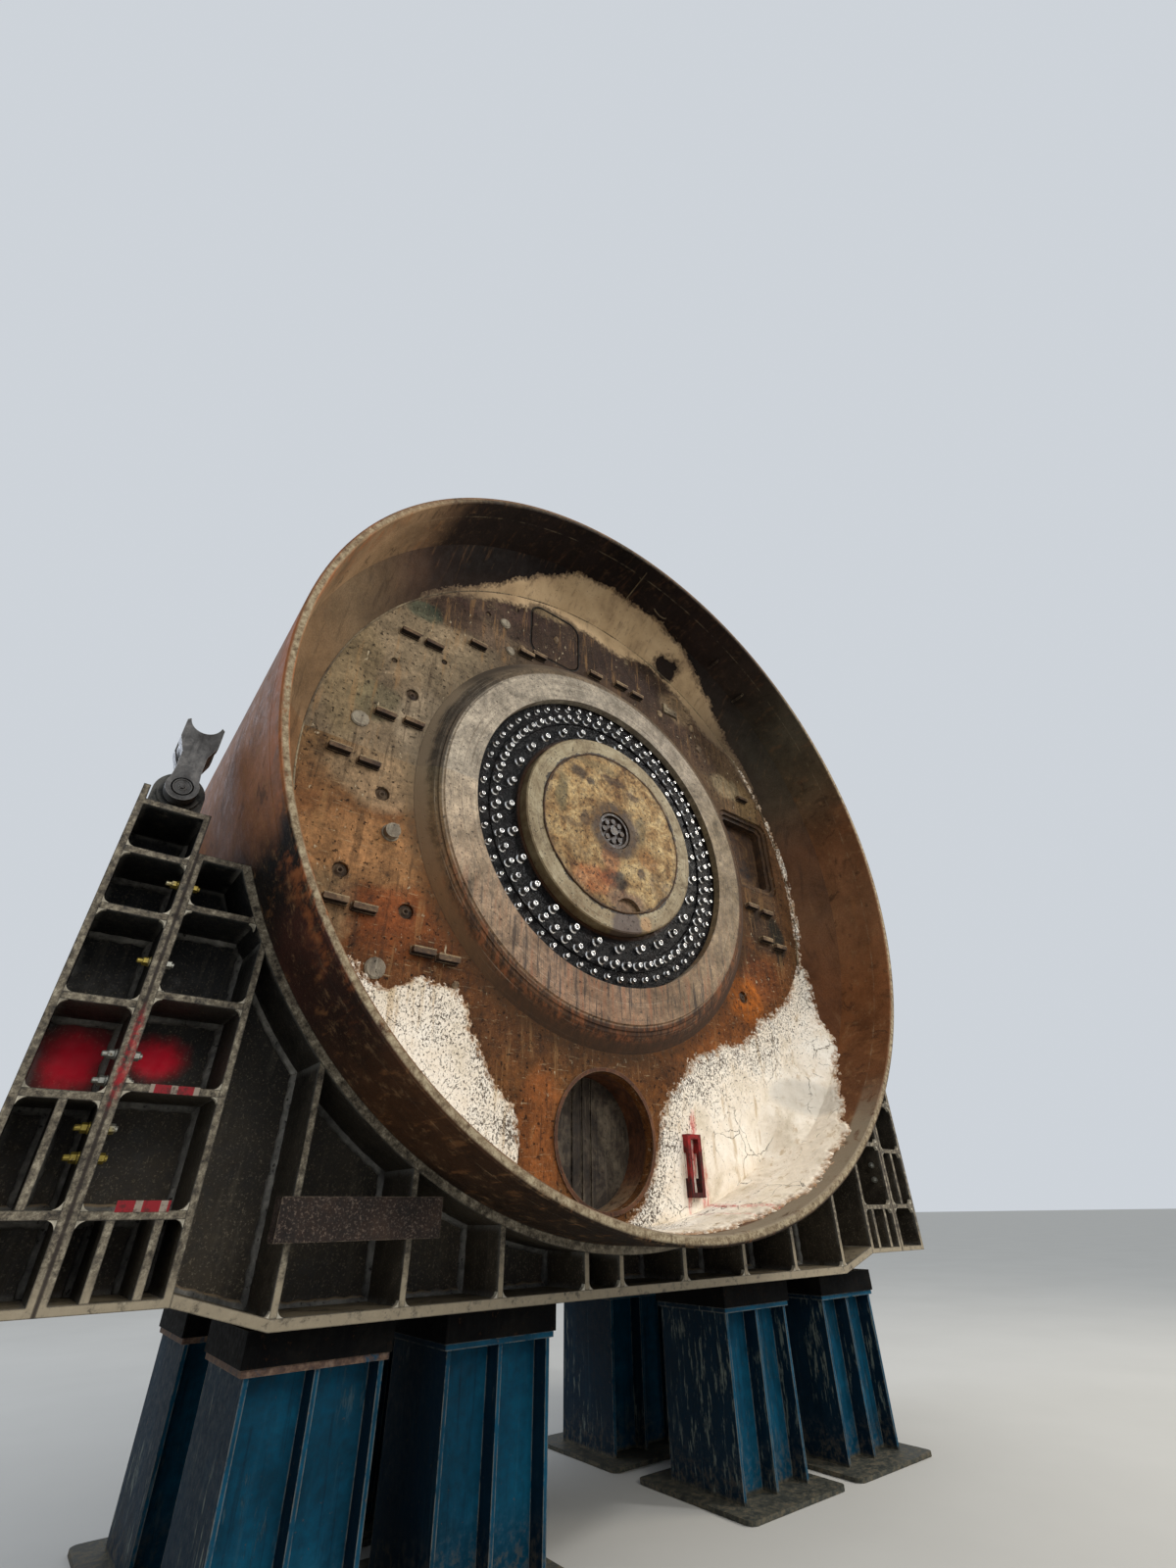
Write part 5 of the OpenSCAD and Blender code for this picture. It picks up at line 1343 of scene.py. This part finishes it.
for x, z, wide, high in fittings["boxes"]:
    block(skinFittings, at(x - wide / 2, boxFront, z - high / 2),
          at(x + wide / 2, wallDepth + fittings["boxSunk"], z + high / 2), fittings["boxEdge"])
for side in (-1, 1):
    boxX, boxZ = fittings["boxes"][0][:2]
    turnedPart(skinFittings, at(boxX + side * fittings["boltApart"], boxFront, boxZ), fittings["bolt"], 6)
finishPiece("skin_fittings", closeUp(skinFittings), weldLook, smooth=False)

# lumps of mud stuck on the wall, and one on the hatch that rides with it
mudLumps = {  # by piece: x, z, size
    "mud_lumps": [(1.42, 2.30, 0.05), (1.47, 2.01, 0.045), (1.55, 1.74, 0.05), (-1.02, 2.49, 0.03),
                  (-1.10, 2.47, 0.025), (-1.72, 0.42, 0.03), (-2.50, -1.28, 0.04), (-1.42, -1.66, 0.03),
                  (2.36, 1.04, 0.03), (-1.04, 1.86, 0.045), (0.92, 1.98, 0.04)],
    "hatch_mud": [(-0.62, 2.27, 0.035)],
}
lumpShape = {"flat": 0.45, "tall": 1.15, "uneven": 0.55, "scale": 22.0}


def lumpsOfMud(pieceName, body):
    shape = bmesh.new()
    for x, z, size in mudLumps[pieceName]:
        middle = at(x, wallDepth, z)
        flattened = Matrix.Translation(middle) @ Matrix.Diagonal((1.0, lumpShape["flat"], lumpShape["tall"], 1.0))
        lump = bmesh.new()
        bmesh.ops.create_icosphere(lump, subdivisions=3, radius=size, matrix=flattened)
        for vert in lump.verts:
            vert.co = middle + (vert.co - middle) * (1 + lumpShape["uneven"] * ripple(vert.co, lumpShape["scale"]))
        joinTo(shape, lump)
    bmesh.ops.recalc_face_normals(shape, faces=shape.faces)
    finishPiece(pieceName, shape, mudLump, body)


lumpsOfMud("mud_lumps", shieldBody)
lumpsOfMud("hatch_mud", "hatch_door")

# rounded welds in the corners of the cradle's bays, at the open face
bayWeld = {"size": 0.040, "thick": 0.030, "steps": 6, "uneven": 0.25, "sunk": 0.004, "proud": 0.0012, "reach": 0.05}
bayWelds = bmesh.new()


def cornerWeld(shape, x, z, towardX, towardZ, front, back):
    steps, sunk = bayWeld["steps"], bayWeld["sunk"]
    size = bayWeld["size"] * (1 + bayWeld["uneven"] * noise.noise(Vector((x, z, front)) * 9.0))
    turns = [math.pi / 2 * n / steps for n in range(steps + 1)]
    curve = [(size * (1 - math.sin(turn)), size * (1 - math.cos(turn))) for turn in turns]
    outline = [(-sunk, -sunk), (curve[0][0], -sunk)] + curve[1:-1] + [(-sunk, curve[-1][1])]
    plate(shape, [at(x + towardX * a, front, z + towardZ * b) for a, b in outline], Vector((0, back - front, 0)))


for side, face, inward in (("front", depthsOf("front_base")[0], 1), ("rear", depthsOf("rear_base")[1], -1)):
    nearFace, farFace = sorted((face + inward * bayWeld["proud"], face + inward * bayWeld["thick"]))
    for low, high in loosePieces(f"{side}_shelves") + loosePieces(f"{side}_base_ribs"):
        if abs((low.y if inward > 0 else high.y) - rimY - face) > bayWeld["reach"]:
            continue
        flat = high.x - low.x > high.z - low.z
        for x, towardX in ((low.x, 1 if flat else -1), (high.x, -1 if flat else 1)):
            cornerWeld(bayWelds, x, high.z - axisZ if flat else low.z - axisZ, towardX, 1, nearFace, farFace)
            if flat:
                cornerWeld(bayWelds, x, low.z - axisZ, towardX, -1, nearFace, farFace)
bmesh.ops.recalc_face_normals(bayWelds, faces=bayWelds.faces)
finishPiece("bay_welds", bayWelds, paleWeld, smooth=False)

# weld strips where the cradle's ribs, shelves and flanges meet the webs
webWeld = {
    "size": 0.027, "sides": 8, "pitch": 0.05, "proud": 0.003,
    "webs": {"front": (1.1325, 1.1675), "rear": (2.4325, 2.4675)},  # depth of each web's two faces
    "uprights": [(2.778, -1.62), (2.737, -1.76), (3.188, -1.28), (3.264, -1.04)],  # x, top
    "floor": -3.30, "sill": -3.408, "step": (2.30, 2.73, -3.290),  # heights; the step: inner x, outer x, top
    "saddle": (3.2535, -147, -33, 0.026),  # radius, first and last angle, thickness
}
webWelds = bmesh.new()


def weldStrip(first, second):
    steps = max(int((second - first).length / webWeld["pitch"]), 2)
    path = [first.lerp(second, n / steps) for n in range(steps + 1)]
    weldBead(webWelds, path, webWeld["size"], webWeld["sides"])


def ribWelds(low, high, face):
    proud = webWeld["proud"]
    if high.x - low.x > high.z - low.z:
        for z in (low.z - proud, high.z + proud):
            weldStrip(Vector((low.x, face, z)), Vector((high.x, face, z)))
    else:
        for x in (low.x - proud, high.x + proud):
            weldStrip(Vector((x, face, low.z)), Vector((x, face, high.z)))


for frameName, (webFront, webBack) in webWeld["webs"].items():
    frontFace, backFace = webFront - webWeld["proud"], webBack + webWeld["proud"]
    ribs = loosePieces(f"{frameName}_shelves") + loosePieces(f"{frameName}_base_ribs") + loosePieces("foot_ribs")
    for low, high in ribs:
        if abs((low.y + high.y) / 2 - rimY - (webFront + webBack) / 2) <= 0.5:
            ribWelds(low, high, rimY + (frontFace if low.y - rimY < webFront - 0.1 else backFace))
    stepIn, stepOut, stepTop = webWeld["step"]
    for depth in (frontFace, backFace):
        for side in (-1, 1):
            for x, top in webWeld["uprights"]:
                weldStrip(at(side * x, depth, webWeld["floor"]), at(side * x, depth, top))
            weldStrip(at(side * stepIn, depth, webWeld["sill"]), at(side * stepOut, depth, stepTop))
        weldStrip(at(-stepIn, depth, webWeld["sill"]), at(stepIn, depth, webWeld["sill"]))
        radius, firstAngle, lastAngle, size = webWeld["saddle"]
        weldBead(webWelds, ringPath(radius, depth, firstAngle, lastAngle, webWeld["pitch"]), size, webWeld["sides"])
finishPiece("web_welds", closeUp(webWelds), greyWeld)

# pin ends: a pale ring round a bolt on every shackle pin
pinShape = {  # radius, distance from the pin's face
    "ring": [(0.0, -0.003), (0.026, -0.003), (0.030, 0.003), (0.046, 0.003), (0.050, -0.006), (0.064, -0.006),
             (0.070, 0.0), (0.070, 0.004)],
    "bolt": [(0.0, -0.014), (0.014, -0.014), (0.017, -0.011), (0.017, 0.001)],
}
for corner in ("front_left", "front_right", "rear_left", "rear_right"):
    pinEnd = bmesh.new()
    low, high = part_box(f"pin_{corner}")
    middle = Vector(((low.x + high.x) / 2, low.y, (low.z + high.z) / 2))
    turnedPart(pinEnd, middle, pinShape["ring"], 28)
    turnedPart(pinEnd, middle, pinShape["bolt"], 6)
    finishPiece(f"pin_end_{corner}", closeUp(pinEnd), shackleGrey, f"shackle_{corner}", smooth=False)

# drive side: bolt circles, union bands and bolts, gear unit flanges and ribs
drive = {
    "boltCircles": [(1.885, 48, 1.05, 0.024), (1.640, 60, 1.95, 0.020), (0.375, 20, 2.01, 0.018)],
    "unitBolts": [(0.246, 12, 1.981, 0.011, 0), (0.206, 10, 2.349, 0.010, 18)],  # circle, count, depth, size, start
    "unionBands": [(0.305, 2.05), (0.305, 2.20), (0.216, 2.40), (0.222, 2.50)],  # radius, depth
    "unionBolts": {"count": 6, "circle": 0.14, "depth": 2.53},
    "unionBolt": [(0.0, 0.028), (0.024, 0.028), (0.027, 0.024), (0.027, 0.010), (0.040, 0.010), (0.040, -0.002)],
    "unitRings": [(0.262, 1.951, 0.030), (0.238, 2.05, 0.014), (0.238, 2.11, 0.014), (0.238, 2.17, 0.014),
                  (0.226, 2.315, 0.034)],  # radius, depth, thickness
    "ringInside": 0.06, "ringEdge": 0.003,
}
driveParts = bmesh.new()


def boltCircle(middleX, middleZ, circle, count, face, size, start=0.0):  # a washer and a six-sided head at each
    washer = [(size * 1.5, 0.0005), (size * 1.5, size * 0.22), (size * 1.02, size * 0.22)]
    head = [(0.0, size * 1.05), (size * 0.62, size * 1.05), (size, size * 0.85), (size, size * 0.2)]
    for n in range(count):
        place = onCircle(middleX, middleZ, circle, math.radians(start) + math.tau * n / count, face)
        turnedPart(driveParts, place, washer, 12)
        turnedPart(driveParts, place, head, 6)


for circle in drive["boltCircles"]:
    boltCircle(0, 0, *circle)
for radius, depth in drive["unionBands"]:
    turnedPart(driveParts, at(0, depth, 0), [
        (radius - 0.01, 0.0), (radius + 0.006, 0.002), (radius + 0.006, 0.022), (radius - 0.01, 0.024)], 40)
union = drive["unionBolts"]
for n in range(union["count"]):
    place = onCircle(0, 0, union["circle"], math.tau * n / union["count"], union["depth"])
    turnedPart(driveParts, place, drive["unionBolt"], 12)
unitPlaces = [((low.x + high.x) / 2, (low.z + high.z) / 2 - axisZ) for low, high in loosePieces("gear_units")]
for x, z in unitPlaces:
    for radius, depth, thick in drive["unitRings"]:
        inside, edge = radius - drive["ringInside"], drive["ringEdge"]
        turnedPart(driveParts, at(x, depth, z), [
            (inside, 0.0), (radius - edge, 0.0), (radius, edge), (radius, thick - edge), (radius - edge, thick),
            (inside, thick)], 36)
    for circle in drive["unitBolts"]:
        boltCircle(x, z, *circle)
finishPiece("drive_details", closeUp(driveParts), driveGrey, smooth=False)

# motors: cooling fins, a fan cowl and a flange
motor = {
    "fins": {"count": 20, "from": 2.42, "to": 2.69, "foot": 0.180, "top": 0.203, "thick": 0.007},
    "cowlDepth": 2.70, "cowl": [
        (0.170, 0.0), (0.197, 0.0), (0.200, 0.004), (0.200, 0.085), (0.190, 0.105), (0.160, 0.128), (0.156, 0.122),
        (0.120, 0.131), (0.115, 0.126), (0.080, 0.132), (0.075, 0.127), (0.040, 0.132), (0.0, 0.132)],
    "flangeDepth": 2.37, "flange": [
        (0.170, 0.0), (0.202, 0.0), (0.205, 0.003), (0.205, 0.027), (0.202, 0.030), (0.170, 0.030)],
}
motorParts = bmesh.new()
fin = motor["fins"]
finSize = Matrix.Diagonal((fin["top"] - fin["foot"], fin["to"] - fin["from"], fin["thick"], 1.0))
finOut = Matrix.Translation(((fin["top"] + fin["foot"]) / 2, 0, 0))
for x, z in unitPlaces:
    middle = Matrix.Translation(at(x, (fin["from"] + fin["to"]) / 2, z))
    for n in range(fin["count"]):
        turned = Matrix.Rotation(-math.tau * (n + 0.5) / fin["count"], 4, "Y")
        cooling = bmesh.new()
        bmesh.ops.create_cube(cooling, size=1.0, matrix=middle @ turned @ finOut @ finSize)
        joinTo(motorParts, cooling)
    for part in ("cowl", "flange"):
        turnedPart(motorParts, at(x, motor[part + "Depth"], z), motor[part], 32)
finishPiece("motor_details", closeUp(motorParts), motorBlack, smooth=False)

# lock chamber: a round-cornered rear door with wheel, hinges and frame
lock = {
    "x": 2.265, "z": 0.51, "halfWide": 0.31, "halfHigh": 0.44, "corner": 0.10,
    "layers": [(0.055, -0.004, 0.018), (0.0, 0.0, 0.044)],  # wider by, front, back
    "wheel": 0.11, "wheelDepth": 0.095, "wheelRim": 0.011, "spokes": 4, "spokeDepth": 0.085, "spoke": 0.008,
    "hub": [(0.045, 0.0), (0.040, 0.010), (0.020, 0.014), (0.018, 0.056), (0.0, 0.060)], "hubDepth": 0.04,
    "hingeApart": 0.27, "hingeOut": 0.085, "hingeDepth": 0.022, "hinge": [
        (0.0, 0.0), (0.016, 0.0), (0.018, 0.003), (0.018, 0.087), (0.016, 0.090), (0.0, 0.090)],
    "leaf": (-0.06, 0.030, 0.046, 0.03),  # from the door's edge, front, back, half height
}
lockDoor = bmesh.new()
lockX, lockZ, chamberBack = lock["x"], lock["z"], depthsOf("manlock_chamber")[1]
for grow, front, back in lock["layers"]:
    sizes = [lock[key] + grow for key in ("halfWide", "halfHigh", "corner")]
    outline = roundedPath(lockX, lockZ, *sizes, 0.0, 10.0)
    plate(lockDoor, [spot + Vector((0, chamberBack + front, 0)) for spot in outline], Vector((0, back - front, 0)))
wheelDepth = chamberBack + lock["wheelDepth"]
wheel = [onCircle(lockX, lockZ, lock["wheel"], math.tau * n / 32, wheelDepth) for n in range(33)]
tube(lockDoor, wheel, lock["wheelRim"], 8)
for n in range(lock["spokes"]):
    rim = onCircle(lockX, lockZ, lock["wheel"], math.tau * n / lock["spokes"] + 0.4, wheelDepth)
    tube(lockDoor, [at(lockX, chamberBack + lock["spokeDepth"], lockZ), rim], lock["spoke"], 8)
turnedPart(lockDoor, at(lockX, chamberBack + lock["hubDepth"], lockZ), lock["hub"], 20)
edgeX, hingeX = lockX + lock["halfWide"], lockX + lock["halfWide"] + lock["hingeOut"]
leafStart, leafFront, leafBack, leafHalf = lock["leaf"]
for z in (lockZ - lock["hingeApart"], lockZ + lock["hingeApart"]):
    turnedPart(lockDoor, at(hingeX, chamberBack + lock["hingeDepth"], z - 0.045), lock["hinge"], 14, "Z")
    block(lockDoor, at(edgeX + leafStart, chamberBack + leafFront, z - leafHalf),
          at(hingeX, chamberBack + leafBack, z + leafHalf), 0.003)
finishPiece("lock_rear_door", closeUp(lockDoor), chamberGrey, smooth=False)

# striped strips on two shelves
strip = {"front": 0.6965, "back": 0.7005, "edge": 0.001,
         "places": [(-3.085, -2.868, -2.508, -2.470), (-3.066, -2.852, -2.988, -2.944)]}  # left, right, low, high
strips = bmesh.new()
for left, right, low, high in strip["places"]:
    block(strips, at(left, strip["front"], low), at(right, strip["back"], high), strip["edge"])
finishPiece("warning_strips", strips, stripPaint, smooth=False)

# plugs in the bulkhead's round ports: recessed, with a raised ring round a shallow round hollow
portPlug = {
    "large": [(-2.089, 0.690), (-2.183, -0.350), (-2.369, -1.035), (-1.860, -1.216), (1.733, -1.247)],
    "small": [(-1.616, -1.793), (-1.713, -1.910), (-0.941, -2.653), (0.330, 2.707), (1.733, 2.021),
              (1.484, -1.822), (-1.131, 2.406), (-1.460, 2.121), (-2.298, 0.973), (-1.851, 1.214)],
    "largeRadius": 0.055, "smallRadius": 0.0272, "sunk": 0.018, "back": 0.066,
    "face": [(0.0, 0.010), (0.22, 0.010), (0.26, -0.012), (0.46, -0.012), (0.52, 0.002), (0.84, 0.0), (0.98, 0.006)],
    "rear": [(0.98, 0.0), (0.55, 0.0), (0.50, 0.014), (0.0, 0.014)],  # share of the radius, distance back
}
portPlugs = bmesh.new()
start, stop = wallDepth + portPlug["sunk"], wallDepth + portPlug["back"]
for kind in ("large", "small"):
    radius = portPlug[kind + "Radius"]
    profile = [(radius * share, start + back) for share, back in portPlug["face"]]
    profile += [(radius * share, stop + back) for share, back in portPlug["rear"]]
    for x, z in portPlug[kind]:
        turnedPart(portPlugs, at(x, 0, z), profile, 20)
finishPiece("port_plugs", closeUp(portPlugs), plugBrown)

# worn mastic round the hub plate, squeezed up in the gap
hubMastic = {"radius": 0.812, "sunk": 0.003, "angles": (0, 358.6), "pitch": 0.016, "wobble": 0.014, "size": 0.0095}
mastic = bmesh.new()
masticPath = ringPath(hubMastic["radius"], depthsOf("hub_disc")[0] + hubMastic["sunk"], *hubMastic["angles"],
                      hubMastic["pitch"], hubMastic["wobble"])
weldBead(mastic, masticPath, hubMastic["size"], 6, True)
finishPiece("hub_mastic", closeUp(mastic), darkBrown)

# bolts across the seam between the inner and outer columns: shank, nut, two washers and a head
seamBolts = {
    "levels": [-1.44, -1.88, -2.34, -2.46, -2.66, -2.78], "depths": (0.80, 1.50, 2.10, 2.80),
    "seam": 3.226, "grip": 0.035, "shank": 0.0135, "hole": 0.0136, "head": 0.023,
}


def seamBolt(shape, side, level, depth):
    shank, hole, head = seamBolts["shank"], seamBolts["hole"], seamBolts["head"]
    inner, outer = seamBolts["seam"] - seamBolts["grip"], seamBolts["seam"] + seamBolts["grip"]
    for profile, sides in (
        ([(0.0, inner - 0.042), (0.013, inner - 0.040), (shank, inner - 0.034), (shank, outer + 0.058),
          (0.010, outer + 0.062), (0.0, outer + 0.062)], 10),
        ([(hole, outer + 0.008), (head * 0.92, outer + 0.008), (head, outer + 0.011), (head, outer + 0.031),
          (head * 0.9, outer + 0.035), (hole, outer + 0.035)], 6),
        ([(hole, outer + 0.0004), (head * 1.15, outer + 0.0004), (head * 1.15, outer + 0.007),
          (hole, outer + 0.007)], 18),
        ([(hole, inner - 0.006), (head * 1.15, inner - 0.006), (head * 1.15, inner - 0.0004),
          (hole, inner - 0.0004)], 18),
        ([(0.0, inner - 0.030), (head * 0.9, inner - 0.030), (head, inner - 0.027), (head, inner - 0.007),
          (0.0, inner - 0.007)], 6),
    ):
        turned = [(radius, side * place) for radius, place in profile]
        turnedPart(shape, at(0, depth, level), turned, sides, "X")


bolts = bmesh.new()
for side in (-1, 1):
    for depth in seamBolts["depths"]:
        for level in seamBolts["levels"]:
            seamBolt(bolts, side, level, depth)


def platedBoltFinish():
    look = Finish("platedBolts", 0.35, 0.7, 0.5)
    bolt = look.noise(1.7, 1, 0.5)
    wear = look.noise(40.0, 6, 0.7)
    base = look.blend(look.mask(bolt, 0.44, 0.50), (150, 132, 62), (158, 158, 150))
    base = look.blend(look.mask(wear, 0.54, 0.68), base, (92, 76, 50))
    look.bump(wear, 0.0006, 0.7)
    return look.done(base, look.span(wear, 0.3, 0.7, 0.30, 0.50))


finishPiece("seam_bolts", closeUp(bolts), platedBoltFinish(), smooth=False)
print("small parts fitted")


# floor

floorMesh = bmesh.new()
bmesh.ops.create_grid(floorMesh, x_segments=2, y_segments=2, size=500)
floorData = bpy.data.meshes.new("floor")
floorMesh.to_mesh(floorData)
floorMesh.free()
floor = bpy.data.objects.new("floor", floorData)
floor.location.z = -0.002
scene.collection.objects.link(floor)
floorLook = Finish("paleFloor", 0.9)
darkerFloor = tuple(c - 5 for c in studio["floor"])
floorLook.done(floorLook.ramp(floorLook.noise(0.6, 6), [(0.3, darkerFloor), (0.7, studio["floor"])]))
floorData.materials.append(floorLook.material)
print("floor laid")
